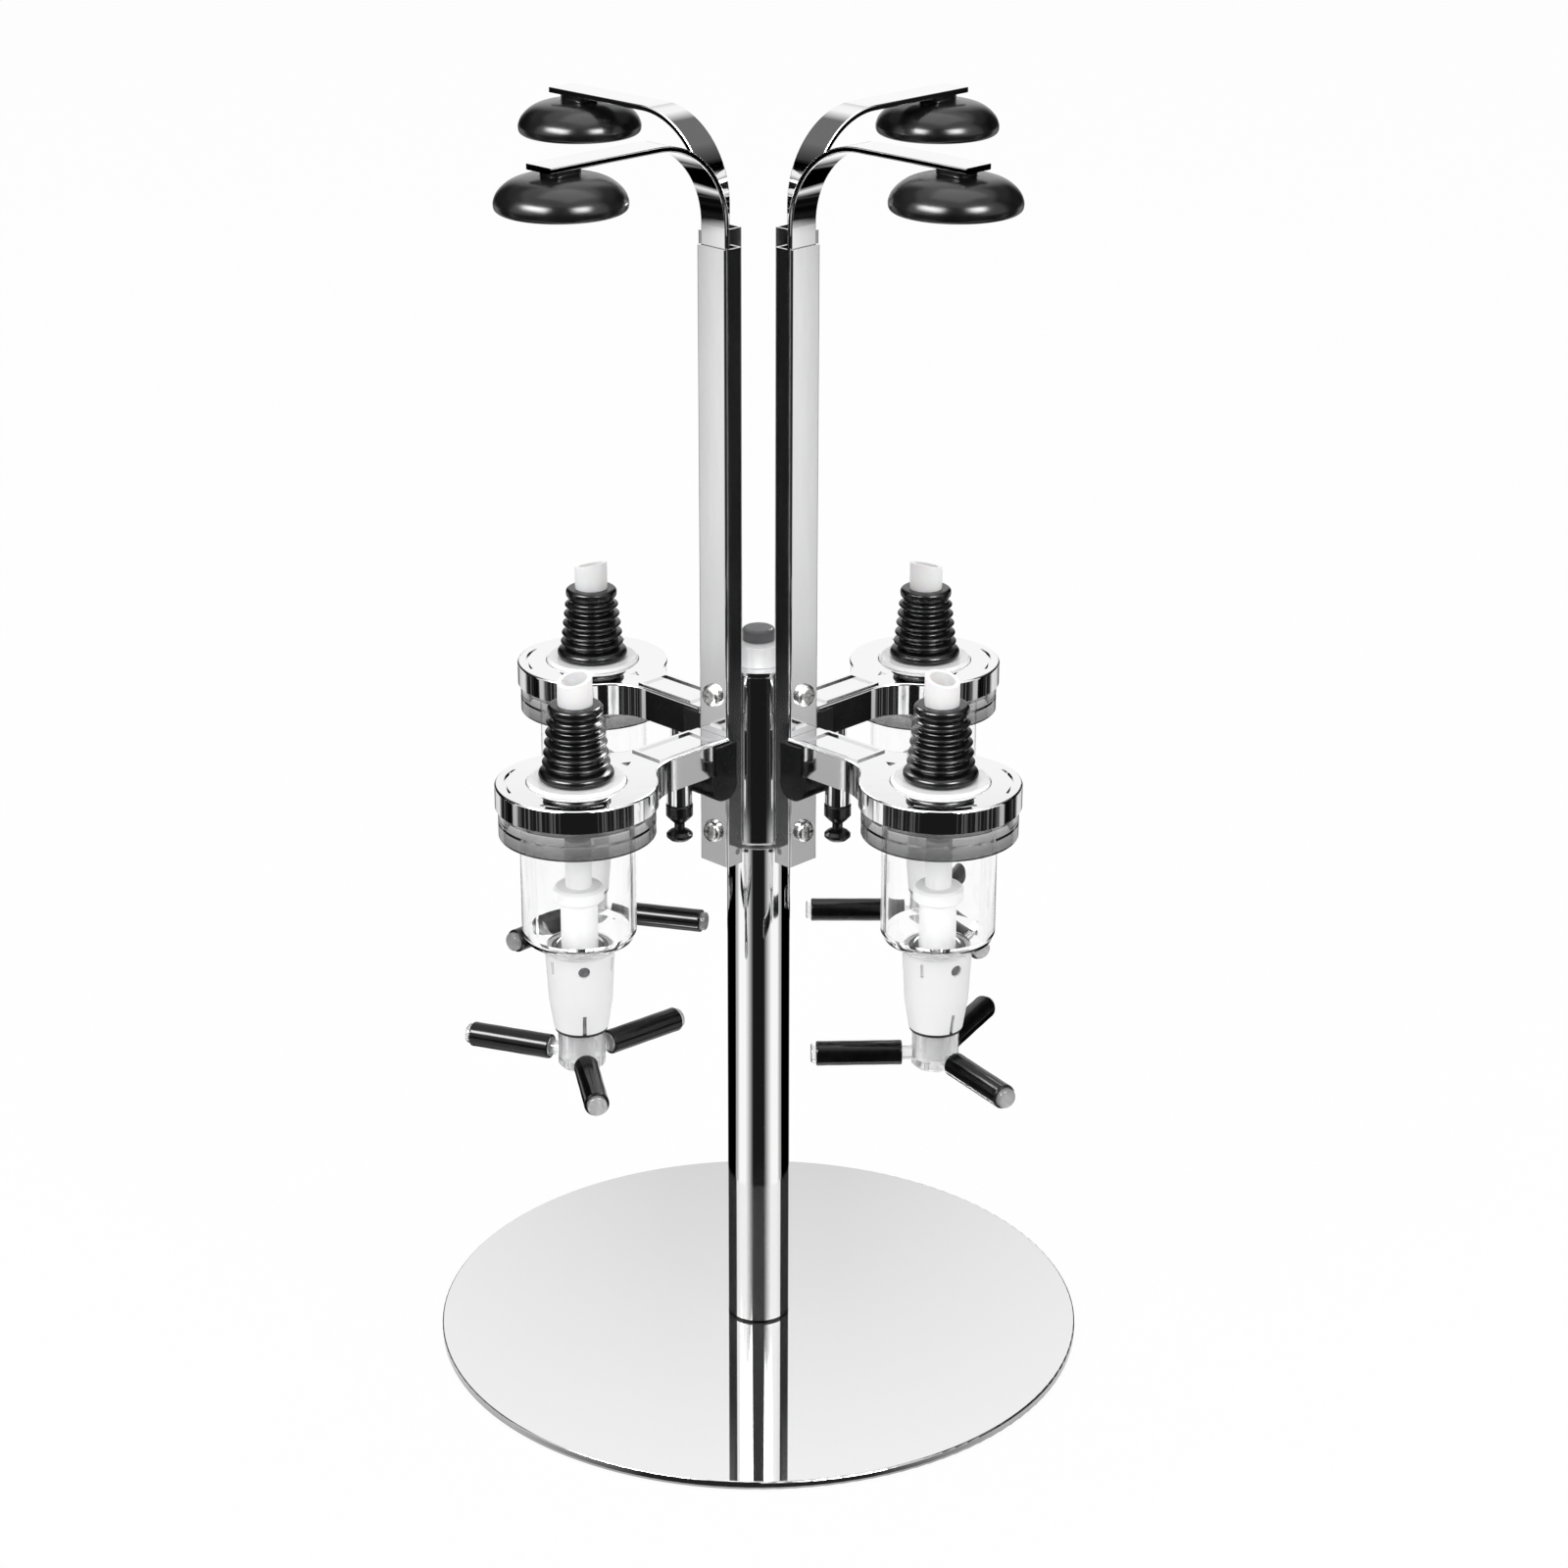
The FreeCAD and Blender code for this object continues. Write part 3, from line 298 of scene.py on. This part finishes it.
for name, place, width, watts in lamps:
    lamp = bpy.data.lights.new(name, "AREA")
    lamp.shape = "SQUARE"
    lamp.size = width
    lamp.energy = watts
    box = bpy.data.objects.new(name, lamp)
    face_stand(box, place)
    bpy.context.scene.collection.objects.link(box)


# Foot pad: a ring of black anti-slip rubber glued under the plate, which keeps
# the steel off the bar top. Only its edge could be seen, from very low down.

def new_finish(name, colour, roughness, metallic=0.0):
    """A material with its node tree and its one Principled shader."""
    material = bpy.data.materials.new(name)
    material.use_nodes = True
    tree = material.node_tree
    shader = tree.nodes["Principled BSDF"]
    shader.inputs["Base Color"].default_value = (*colour, 1.0)
    shader.inputs["Roughness"].default_value = roughness
    shader.inputs["Metallic"].default_value = metallic
    return material, tree, shader


def grain(tree, scale, stretch=(1.0, 1.0, 1.0), detail=4.0):
    """A noise fixed to the piece, with features about one over scale metres wide."""
    place = tree.nodes.new("ShaderNodeTexCoord")
    spread = tree.nodes.new("ShaderNodeMapping")
    spread.inputs["Scale"].default_value = stretch
    noise = tree.nodes.new("ShaderNodeTexNoise")
    noise.inputs["Scale"].default_value = scale
    noise.inputs["Detail"].default_value = detail
    tree.links.new(place.outputs["Object"], spread.inputs["Vector"])
    tree.links.new(spread.outputs["Vector"], noise.inputs["Vector"])
    return noise.outputs["Fac"]


def worn(tree, shader, source, low, high):
    """Let the roughness wander between low and high with a noise."""
    tree.links.new(between(tree, source, low, high), shader.inputs["Roughness"])


def shaded(tree, shader, source, dark, light):
    """Let the colour wander between two colours with a noise."""
    ramp = tree.nodes.new("ShaderNodeValToRGB")
    ramp.color_ramp.elements[0].position = 0.3
    ramp.color_ramp.elements[0].color = (*dark, 1.0)
    ramp.color_ramp.elements[1].position = 0.7
    ramp.color_ramp.elements[1].color = (*light, 1.0)
    tree.links.new(source, ramp.inputs["Fac"])
    tree.links.new(ramp.outputs["Color"], shader.inputs["Base Color"])


def dented(tree, shader, source, strength, depth):
    """Raise a fine relief of the given depth in metres."""
    relief = tree.nodes.new("ShaderNodeBump")
    relief.inputs["Strength"].default_value = strength
    relief.inputs["Distance"].default_value = depth
    tree.links.new(source, relief.inputs["Height"])
    tree.links.new(relief.outputs["Normal"], shader.inputs["Normal"])


def skin(name, rings, material, where=Matrix.Identity(4), loop=False, sharp=0.7):
    """A mesh drawn through rings of points. With loop, the last ring meets the first."""
    shape = bmesh.new()
    rows = [[shape.verts.new(where @ Vector(point)) for point in ring] for ring in rings]
    pairs = list(zip(rows, rows[1:]))
    if loop:
        pairs.append((rows[-1], rows[0]))
    for low, high in pairs:
        for side in range(len(low)):
            after = (side + 1) % len(low)
            shape.faces.new((low[side], low[after], high[after], high[side]))
    if not loop:
        shape.faces.new(rows[0][::-1])
        shape.faces.new(rows[-1])
    bmesh.ops.recalc_face_normals(shape, faces=shape.faces)
    for face in shape.faces:
        face.smooth = True
    for edge in shape.edges:
        if len(edge.link_faces) == 2 and edge.calc_face_angle(0.0) > sharp:
            edge.smooth = False
    mesh = bpy.data.meshes.new(name)
    shape.to_mesh(mesh)
    shape.free()
    mesh.materials.append(material)
    piece = bpy.data.objects.new(name, mesh)
    bpy.context.scene.collection.objects.link(piece)
    return piece


def lathe_rings(profile, sides):
    """Turn (radius, height) points, in millimetres, into rings in metres."""
    rings = []
    for radius, height in profile:
        ring = []
        for side in range(sides):
            angle = 2 * math.pi * side / sides
            ring.append((radius * math.cos(angle) / 1000.0, radius * math.sin(angle) / 1000.0,
                         height / 1000.0))
        rings.append(ring)
    return rings


pad_sides = 160
pad_profile = ((8.0, 0.0), (103.6, 0.0), (104.0, 0.15), (104.0, 0.45), (103.8, 0.58), (8.0, 0.58))

pad_rubber, tree, shader = new_finish("pad_rubber", (0.014, 0.014, 0.015), 0.8)
ribs = grain(tree, 900.0)
worn(tree, shader, ribs, 0.68, 0.9)
dented(tree, shader, ribs, 0.5, 0.0002)
foot_pad = skin("foot_pad", lathe_rings(pad_profile, pad_sides), pad_rubber, loop=True)
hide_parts("base_pad")
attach(foot_pad, "stand")


# Base plate: a disc of stainless steel, 3 mm thick, polished to a mirror, with
# its edge rounded over. It carries the faint haze and hairlines of wiping.

def by_height(tree, stops):
    """A ramp along the piece's own height, from (height in metres, grey) stops."""
    place = tree.nodes.new("ShaderNodeTexCoord")
    part = tree.nodes.new("ShaderNodeSeparateXYZ")
    spread = tree.nodes.new("ShaderNodeMapRange")
    low, high = stops[0][0], stops[-1][0]
    spread.inputs["From Min"].default_value = low
    spread.inputs["From Max"].default_value = high
    ramp = tree.nodes.new("ShaderNodeValToRGB")
    marks = ramp.color_ramp.elements
    marks[0].position, marks[0].color = 0.0, (*([stops[0][1]] * 3), 1.0)
    marks[1].position, marks[1].color = 1.0, (*([stops[-1][1]] * 3), 1.0)
    for height, grey in stops[1:-1]:
        marks.new((height - low) / (high - low)).color = (grey, grey, grey, 1.0)
    tree.links.new(place.outputs["Object"], part.inputs["Vector"])
    tree.links.new(part.outputs["Z"], spread.inputs["Value"])
    tree.links.new(spread.outputs["Result"], ramp.inputs["Fac"])
    return ramp.outputs["Color"]


def finish_nodes(material, *names):
    """Give CAD nodes their finish."""
    for name in names:
        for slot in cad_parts[name].material_slots:
            slot.material = material


# Painted shade: the plate's base colour is darker towards the bottom of its edge, standing in for the
# grey band its reflections give it.
plate_edge_painted_shade = ((0.0006, 0.36), (0.0030, 0.42), (0.00345, 0.60), (0.00357, 0.90), (0.0040, 0.90))

base_mirror, tree, shader = new_finish("base_mirror", (0.90, 0.90, 0.905), 0.02, 0.965)
haze = grain(tree, 14.0, detail=6.0)
worn(tree, shader, haze, 0.008, 0.04)
hairline = grain(tree, 60.0, (1.0, 24.0, 1.0))
dented(tree, shader, hairline, 0.04, 0.00002)
tree.links.new(by_height(tree, plate_edge_painted_shade), shader.inputs["Base Color"])
finish_nodes(base_mirror, "base_plate")


# Foot bolt, column plugs, pivot bolt, support collar and spring pins: plain
# turned steel with the fine rings of the tool, inside the stand or under the hub.

turned_steel, tree, shader = new_finish("turned_steel", (0.55, 0.55, 0.56), 0.3, 1.0)
tool_marks = grain(tree, 500.0, (1.0, 1.0, 9.0))
worn(tree, shader, tool_marks, 0.22, 0.42)
dented(tree, shader, tool_marks, 0.15, 0.00003)
finish_nodes(turned_steel, "foot_bolt", "column_plugs", "pivot_bolt", "spring_pins",
             "support_collar")


# Column: a drawn steel tube, chromed bright, screwed down on the plate. The
# polish is even, with a trace of lengthwise drawing lines.

# Painted shadow: the column's base colour is near black in its lowest millimetre, where it meets the
# plate.
column_foot_painted_shadow = ((0.0036, 0.03), (0.0043, 0.03), (0.0047, 0.93), (0.0060, 0.93))

column_chrome, tree, shader = new_finish("column_chrome", (0.93, 0.93, 0.935), 0.04, 1.0)
drawn = grain(tree, 260.0, (1.0, 1.0, 0.04))
worn(tree, shader, drawn, 0.03, 0.07)
dented(tree, shader, drawn, 0.03, 0.00002)
tree.links.new(by_height(tree, column_foot_painted_shadow), shader.inputs["Base Color"])
finish_nodes(column_chrome, "column")


# Washer under the hub: a thin ring of white nylon on which the rotor turns. It
# lies loose on the collar, round the column.

white_nylon, tree, shader = new_finish("white_nylon", (0.86, 0.86, 0.84), 0.45)
moulded = grain(tree, 700.0)
worn(tree, shader, moulded, 0.38, 0.52)
shaded(tree, shader, grain(tree, 90.0), (0.82, 0.82, 0.79), (0.88, 0.88, 0.86))
finish_nodes(white_nylon, "thrust_washer")


# Hub: the chromed sleeve that turns on the column and carries the four rails.
# Its turned neck is left bright and pale, and the knob on top is grey plastic.

neck_metal = ((0.2400, 1.0), (0.24405, 1.0), (0.24415, 0.15), (0.2600, 0.15))

hub_chrome, tree, shader = new_finish("hub_chrome", (0.90, 0.90, 0.905), 0.06, 1.0)
buffed = grain(tree, 300.0, (1.0, 1.0, 6.0))
worn(tree, shader, buffed, 0.04, 0.10)
dented(tree, shader, buffed, 0.04, 0.00002)
tree.links.new(by_height(tree, neck_metal), shader.inputs["Metallic"])
finish_nodes(hub_chrome, "hub")

knob_grey, tree, shader = new_finish("knob_grey", (0.10, 0.10, 0.105), 0.42)
shaded(tree, shader, grain(tree, 160.0), (0.085, 0.085, 0.09), (0.12, 0.12, 0.125))
dented(tree, shader, grain(tree, 1400.0), 0.2, 0.00008)
finish_nodes(knob_grey, "hub_knob")


# Rails: four chromed rectangular tubes screwed to the hub, one for each bottle.
# Their wide faces are satin bright, with a few fine pits in the plating.

stations = {"front_left": 225.0, "front_right": 315.0, "back_right": 45.0, "back_left": 135.0}
rail_metal = ((0.1700, 0.94), (0.2050, 0.97), (0.2500, 1.0), (0.3500, 1.0))

rail_chrome, tree, shader = new_finish("rail_chrome", (0.90, 0.90, 0.905), 0.1, 1.0)
satin = grain(tree, 420.0, (1.0, 1.0, 0.12))
worn(tree, shader, satin, 0.04, 0.08)
dented(tree, shader, grain(tree, 240.0, detail=8.0), 0.05, 0.00004)
tree.links.new(by_height(tree, rail_metal), shader.inputs["Metallic"])
for name in stations:
    finish_nodes(rail_chrome, "rail_" + name)


# Rail screws: pan heads with a cross recess, nickel plated, two in each rail.
# They hold the rails to the hub.

screw_steel, tree, shader = new_finish("screw_steel", (0.80, 0.80, 0.79), 0.26, 1.0)
plated = grain(tree, 1500.0)
worn(tree, shader, plated, 0.20, 0.34)
dented(tree, shader, plated, 0.1, 0.00003)
finish_nodes(screw_steel, "rail_screws")


# Arm springs: close-wound springs of round wire beside the screws, inside the
# rails. They pull the bottle arms down, and hang on a pin and on the bar's lug.

def coil(name, radius, wire, low, high, turns, material, where, steps=16, sides=8):
    """A helix of round wire with closed end turns. Sizes in millimetres."""
    middle = radius - wire / 2
    rise = high - low - wire
    count = int(turns * steps)
    rings = []
    for step in range(count + 1):
        turn = step / count * turns
        climb = min(max((turn - 1.0) / (turns - 2.0), 0.0), 1.0)
        height = low + wire / 2 + rise * climb
        angle = 2 * math.pi * turn
        outward = Vector((math.cos(angle), math.sin(angle), 0.0))
        centre = outward * middle + Vector((0.0, 0.0, height))
        ring = []
        for side in range(sides):
            bend = 2 * math.pi * side / sides
            point = centre + outward * (wire / 2 * math.cos(bend))
            point.z += wire / 2 * math.sin(bend)
            ring.append(point / 1000.0)
        rings.append(ring)
    return skin(name, rings, material, where)


def at_station(name, radial, across=0.0):
    """Where a piece of a station goes: turned about the column, then set out from it."""
    turn = Matrix.Rotation(math.radians(stations[name]), 4, "Z")
    return turn @ Matrix.Translation((radial / 1000.0, across / 1000.0, 0.0))


arm_spring_place = (15.85, 3.75)
arm_spring_size = (1.45, 0.5)
arm_spring_heights = (184.15, 243.65)
arm_spring_turns = 96

spring_steel, tree, shader = new_finish("spring_steel", (0.52, 0.52, 0.53), 0.28, 1.0)
wire_marks = grain(tree, 1800.0)
worn(tree, shader, wire_marks, 0.2, 0.4)
shaded(tree, shader, wire_marks, (0.44, 0.44, 0.45), (0.60, 0.60, 0.61))
for name in stations:
    spring = coil("arm_coil_" + name, *arm_spring_size, *arm_spring_heights, arm_spring_turns,
                  spring_steel, at_station(name, *arm_spring_place), steps=12, sides=6)
    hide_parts("arm_spring_" + name)
    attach(spring, "rotor")


# Arm bars: flat steel bars bent over at the top, rounded along their edges and
# chromed. Each slides in its rail and holds a cup out over its bottle.

bar_chrome, tree, shader = new_finish("bar_chrome", (0.92, 0.92, 0.925), 0.05, 1.0)
rolled = grain(tree, 180.0, (1.0, 1.0, 0.2))
worn(tree, shader, rolled, 0.02, 0.05)
dented(tree, shader, rolled, 0.05, 0.00003)
for name in stations:
    finish_nodes(bar_chrome, "arm_bar_" + name)


# Cups: thick domes of black moulded rubber with a hollow underside that presses
# on the bottle's base. A short neck, moulded on, holds each to its bar's end.

cup_radial = 81.5
cup_sides = 96
cup_outside = ((5.0, 416.15), (5.0, 415.4), (5.3, 414.7), (6.6, 414.25), (9.0, 414.05),
               (12.0, 413.5), (14.8, 412.5), (17.2, 410.9), (19.0, 408.9), (19.85, 406.9),
               (19.97, 405.6), (19.7, 404.5), (18.9, 403.8), (17.9, 403.55))
cup_inside = ((17.2, 403.6), (16.4, 404.3), (15.8, 406.2), (15.2, 408.4), (13.9, 409.5),
              (11.5, 409.7), (4.0, 409.7))
neck_half_length = 5.9
neck_half_width = 4.4
neck_squareness = 0.55
neck_reach = 10.0
neck_foot = 413.9
neck_blend = 0.9


def flowing(points, steps=4):
    """A smooth line of points that passes through the given ones."""
    smooth = []
    for here in range(len(points) - 1):
        a = Vector(points[max(here - 1, 0)])
        b = Vector(points[here])
        c = Vector(points[here + 1])
        d = Vector(points[min(here + 2, len(points) - 1)])
        for step in range(steps):
            t = step / steps
            smooth.append(tuple(
                0.5 * (2 * b + (c - a) * t + (2 * a - 5 * b + 4 * c - d) * t * t
                       + (3 * b - a - 3 * c + d) * t ** 3)))
    smooth.append(tuple(points[-1]))
    return smooth


def cup_rings():
    """Round rings that become a rounded rectangle towards the top of the neck."""
    rings = []
    for radius, height in flowing(cup_outside + cup_inside):
        boxed = 0.0
        if radius < neck_reach:
            boxed = min(max((height - neck_foot) / neck_blend, 0.0), 1.0)
        ring = []
        for side in range(cup_sides):
            angle = 2 * math.pi * side / cup_sides
            c, s = math.cos(angle), math.sin(angle)
            round_x, round_y = radius * c, radius * s
            box_x = neck_half_length * math.copysign(abs(c) ** neck_squareness, c)
            box_y = neck_half_width * math.copysign(abs(s) ** neck_squareness, s)
            x = round_x + (box_x - round_x) * boxed
            y = round_y + (box_y - round_y) * boxed
            ring.append((x / 1000.0, y / 1000.0, height / 1000.0))
        rings.append(ring)
    return rings


cup_rubber, tree, shader = new_finish("cup_rubber", (0.008, 0.008, 0.0085), 0.24)
shader.inputs["IOR"].default_value = 1.45
bloom = grain(tree, 130.0, detail=6.0)
shaded(tree, shader, bloom, (0.004, 0.004, 0.0045), (0.012, 0.012, 0.0125))
worn(tree, shader, bloom, 0.17, 0.28)
dented(tree, shader, grain(tree, 260.0), 0.10, 0.0002)
for name in stations:
    cup = skin("cup_dome_" + name, cup_rings(), cup_rubber, at_station(name, cup_radial))
    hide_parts("cup_" + name)
    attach(cup, "arm_" + name)


# Brackets: plated castings, each a ring on a short hollow arm, with grooves and
# a raised frame on top. The plating is a mirror, a little uneven on the casting.

bracket_chrome, tree, shader = new_finish("bracket_chrome", (0.91, 0.91, 0.915), 0.04, 1.0)
cast = grain(tree, 70.0)
worn(tree, shader, cast, 0.025, 0.08)
dented(tree, shader, cast, 0.10, 0.00015)
for name in stations:
    finish_nodes(bracket_chrome, "bracket_" + name)


# Clamp blocks: black glass-filled plastic, moulded. Each sits between a rail and
# its bracket and grips them both.

block_black, tree, shader = new_finish("block_black", (0.006, 0.006, 0.0065), 0.24)
filled = grain(tree, 600.0, detail=6.0)
worn(tree, shader, filled, 0.18, 0.32)
dented(tree, shader, filled, 0.2, 0.00008)
finish_nodes(block_black, "clamp_blocks")


# Thumbscrews: black moulded heads on steel screws, one under each bracket,
# turned by hand to tighten it.

thumb_black, tree, shader = new_finish("thumb_black", (0.005, 0.005, 0.005), 0.22)
handled = grain(tree, 900.0)
worn(tree, shader, handled, 0.15, 0.28)
dented(tree, shader, handled, 0.15, 0.00006)
for name in stations:
    finish_nodes(thumb_black, "thumbscrew_" + name)


# Caps and chambers: clear moulded plastic. The cap's boss, which stands up
# through the bracket's ring, is milky, and the chamber below holds one measure.

def clear_finish(name, roughness, tint, bending):
    """Clear plastic with a light mould texture and the given index of refraction."""
    material, tree, shader = new_finish(name, tint, roughness)
    shader.inputs["Transmission Weight"].default_value = 1.0
    shader.inputs["IOR"].default_value = bending
    flow = grain(tree, 110.0)
    worn(tree, shader, flow, roughness * 0.6, roughness * 1.6)
    dented(tree, shader, flow, 0.06, 0.0001)
    return material


cap_clearness = ((0.2060, 1.0), (0.2175, 1.0), (0.2195, 0.08), (0.2260, 0.08))
# Painted shade: the tint of each cap's clear skirt grows darker towards its bottom, standing in for
# the dark bands seen in it.
cap_skirt_painted_shade = ((0.2000, 0.20), (0.2085, 0.24), (0.2140, 0.42), (0.2170, 0.90), (0.2260, 0.97))

cap_clear = clear_finish("cap_clear", 0.06, (0.97, 0.97, 0.975), 1.42)
tree = cap_clear.node_tree
shader = tree.nodes["Principled BSDF"]
tree.links.new(by_height(tree, cap_clearness), shader.inputs["Transmission Weight"])
tree.links.new(by_height(tree, cap_skirt_painted_shade), shader.inputs["Base Color"])
finish_nodes(cap_clear, "measure_caps")
chamber_clear = clear_finish("chamber_clear", 0.02, (0.995, 0.995, 0.997), 1.30)
finish_nodes(chamber_clear, "chambers")


# Bottle stoppers: soft black rubber with a thick foot, five springy ribs and a
# rim at the top, pressed over the inlet tube.

stopper_profile = (
    (5.6, 225.25), (10.6, 225.25), (11.5, 225.7), (11.85, 226.6), (11.75, 227.5), (11.2, 228.2),
    (10.2, 228.7), (9.2, 229.1), (9.0, 229.6),
    (9.9, 230.1), (10.6, 230.5), (10.55, 231.0), (9.6, 231.4), (8.7, 231.8), (8.6, 232.5),
    (9.5, 233.1), (10.2, 233.6), (10.15, 234.1), (9.2, 234.6), (8.3, 235.0), (8.2, 235.8),
    (9.1, 236.5), (9.8, 237.0), (9.75, 237.5), (8.8, 237.9), (7.9, 238.4), (7.8, 239.1),
    (8.7, 239.8), (9.4, 240.3), (9.35, 240.8), (8.4, 241.2), (7.5, 241.7), (7.4, 242.4),
    (8.3, 243.1), (9.0, 243.6), (8.95, 244.1), (8.1, 244.5), (7.5, 245.0), (7.45, 245.7),
    (8.1, 246.5), (8.55, 247.2), (8.65, 248.2), (8.5, 249.0), (7.9, 249.55), (7.2, 249.68),
    (5.6, 249.68))
stopper_sides = 96
optic_radial = 80.1

stopper_rubber, tree, shader = new_finish("stopper_rubber", (0.004, 0.004, 0.0042), 0.24)
soft = grain(tree, 320.0, detail=5.0)
worn(tree, shader, soft, 0.16, 0.30)
shaded(tree, shader, soft, (0.003, 0.003, 0.0032), (0.007, 0.007, 0.0072))
dented(tree, shader, grain(tree, 900.0), 0.12, 0.00008)


def gather(name, pieces):
    """Make one named piece of several like ones on the same body."""
    first, *rest = pieces
    shape = bmesh.new()
    for piece in pieces:
        shape.from_mesh(piece.data)
    shape.to_mesh(first.data)
    shape.free()
    for piece in rest:
        bpy.data.objects.remove(piece)
    first.name = name
    return first


ribbed = gather("ribbed_stoppers", [
    skin("ribbed_" + name, lathe_rings(flowing(stopper_profile, 3), stopper_sides),
         stopper_rubber, at_station(name, optic_radial), loop=True)
    for name in stations])
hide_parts("stoppers")
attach(ribbed, "rotor")


# Inlet tubes: white plastic pipes cut off at a slant, which take the spirit in
# from the bottle's neck.

inlet_white, tree, shader = new_finish("inlet_white", (0.95, 0.95, 0.95), 0.32)
shader.inputs["Subsurface Weight"].default_value = 0.15
shader.inputs["Subsurface Scale"].default_value = 0.002
pipe = grain(tree, 300.0)
worn(tree, shader, pipe, 0.25, 0.4)
dented(tree, shader, pipe, 0.08, 0.00006)
finish_nodes(inlet_white, "inlet_tubes")


# Nozzles and the rings at their mouths: frosted white plastic with slits and vents.
# A thin black ring at each mouth is painted shade, for the shadow line under the lip,
# and a grey disc in each vent is painted shade, for the dark hollow behind it.

nozzle_frosted, tree, shader = new_finish("nozzle_frosted", (0.98, 0.98, 0.98), 0.36)
shader.inputs["Transmission Weight"].default_value = 0.12
shader.inputs["Specular IOR Level"].default_value = 0.2
shader.inputs["IOR"].default_value = 1.45
frost = grain(tree, 500.0, detail=6.0)
worn(tree, shader, frost, 0.32, 0.5)
dented(tree, shader, frost, 0.1, 0.00006)
finish_nodes(nozzle_frosted, "nozzles")

vent_profile = ((0.02, 9.67), (1.78, 9.67), (1.84, 9.73), (1.84, 9.95), (1.78, 10.02),
                (0.02, 10.02))
vent_sides = 32
vent_height = 163.2
lever_arms = 3
lever_plans = {"front_left": 39.6, "front_right": 62.0, "back_right": 60.0, "back_left": 105.0}


def arm_turn(name, arm):
    """The turn from a station's own outward line to one arm of its lever."""
    plan = lever_plans[name] - stations[name] + 360.0 / lever_arms * arm
    return Matrix.Rotation(math.radians(plan), 4, "Z")


lay_down = Matrix.Rotation(math.radians(90.0), 4, "Y")

# Painted shade: a mottled grey disc in each vent stands in for the dark hollow inside the nozzle.
vent_painted_shade, tree, shader = new_finish("vent_painted_shade", (0.13, 0.13, 0.135), 0.5)
hollow_mottle = grain(tree, 1300.0)
worn(tree, shader, hollow_mottle, 0.4, 0.62)
shaded(tree, shader, hollow_mottle, (0.09, 0.09, 0.095), (0.20, 0.20, 0.205))
vents = []
for name in stations:
    vent_middle = (at_station(name, optic_radial)
                   @ Matrix.Translation((0.0, 0.0, vent_height / 1000.0)))
    for arm in range(lever_arms):
        vents.append(skin("vent_shade_disc_" + name + "_" + str(arm),
                          lathe_rings(vent_profile, vent_sides), vent_painted_shade,
                          vent_middle @ arm_turn(name, arm) @ lay_down))
shade_discs = gather("vent_shade_discs", vents)
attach(shade_discs, "rotor")

# Painted shade: the black ring at each nozzle's mouth stands in for the shadow line in the gap under
# its lip.
seal_rubber, tree, shader = new_finish("seal_rubber", (0.012, 0.012, 0.012), 0.5)
worn(tree, shader, grain(tree, 800.0), 0.4, 0.6)
finish_nodes(seal_rubber, "nozzle_seals")


# Valve stems: white moulded plungers with a collar and a foot flange, seen
# through the clear chamber.

stem_white, tree, shader = new_finish("stem_white", (0.98, 0.98, 0.98), 0.3)
shader.inputs["Specular IOR Level"].default_value = 0.2
sheen = grain(tree, 260.0)
worn(tree, shader, sheen, 0.24, 0.38)
dented(tree, shader, sheen, 0.06, 0.00006)
for name in stations:
    finish_nodes(stem_white, "valve_stem_" + name)


# Valve springs: seven turns of steel wire in each nozzle, between the lever's
# socket and the chamber's neck. A glass that lifts the lever shortens the real
# springs; these keep the length they are built at.

valve_spring_size = (4.25, 0.65)
valve_spring_heights = (141.05, 158.15)
valve_spring_turns = 7

for name in stations:
    spring = coil("valve_coil_" + name, *valve_spring_size, *valve_spring_heights, valve_spring_turns,
                  spring_steel, at_station(name, optic_radial), steps=28, sides=10)
    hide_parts("valve_spring_" + name)
    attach(spring, "rotor")
    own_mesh(spring)


# Levers: clear moulded three-armed crosses, each on its valve stem, with a tube
# of black rubber pushed over each arm.

sleeve_start = 10.8
sleeve_axis_z = 130.6
sleeve_sides = 48
sleeve_profile = (
    (3.28, 0.05), (3.75, 0.0), (3.95, 0.25), (3.98, 0.8), (3.94, 4.0), (3.97, 9.0), (3.93, 14.0),
    (3.97, 19.0), (3.94, 24.0), (3.98, 26.4), (3.95, 27.1), (3.75, 27.4), (3.28, 27.35))

lever_clear, tree, shader = new_finish("lever_clear", (0.97, 0.97, 0.975), 0.08)
shader.inputs["Transmission Weight"].default_value = 0.8
shader.inputs["IOR"].default_value = 1.49
swirl = grain(tree, 90.0)
worn(tree, shader, swirl, 0.05, 0.14)
for name in stations:
    finish_nodes(lever_clear, "lever_" + name)

sleeve_black, tree, shader = new_finish("sleeve_black", (0.004, 0.004, 0.0042), 0.16)
shader.inputs["IOR"].default_value = 1.38
stretched = grain(tree, 240.0, detail=5.0)
worn(tree, shader, stretched, 0.11, 0.20)
shaded(tree, shader, stretched, (0.002, 0.002, 0.0022), (0.005, 0.005, 0.0052))
dented(tree, shader, stretched, 0.05, 0.0001)
for name in stations:
    tubes = []
    for arm in range(lever_arms):
        lie_out = (Matrix.Translation((0.0, 0.0, sleeve_axis_z / 1000.0)) @ arm_turn(name, arm)
                   @ Matrix.Translation((sleeve_start / 1000.0, 0.0, 0.0)) @ lay_down)
        tubes.append(skin("arm_sleeves_" + name + "_" + str(arm),
                          lathe_rings(flowing(sleeve_profile, 3), sleeve_sides), sleeve_black,
                          at_station(name, optic_radial) @ lie_out, loop=True))
    sleeves = gather("arm_sleeves_" + name, tubes)
    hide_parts("lever_sleeves_" + name)
    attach(sleeves, "valve_" + name)
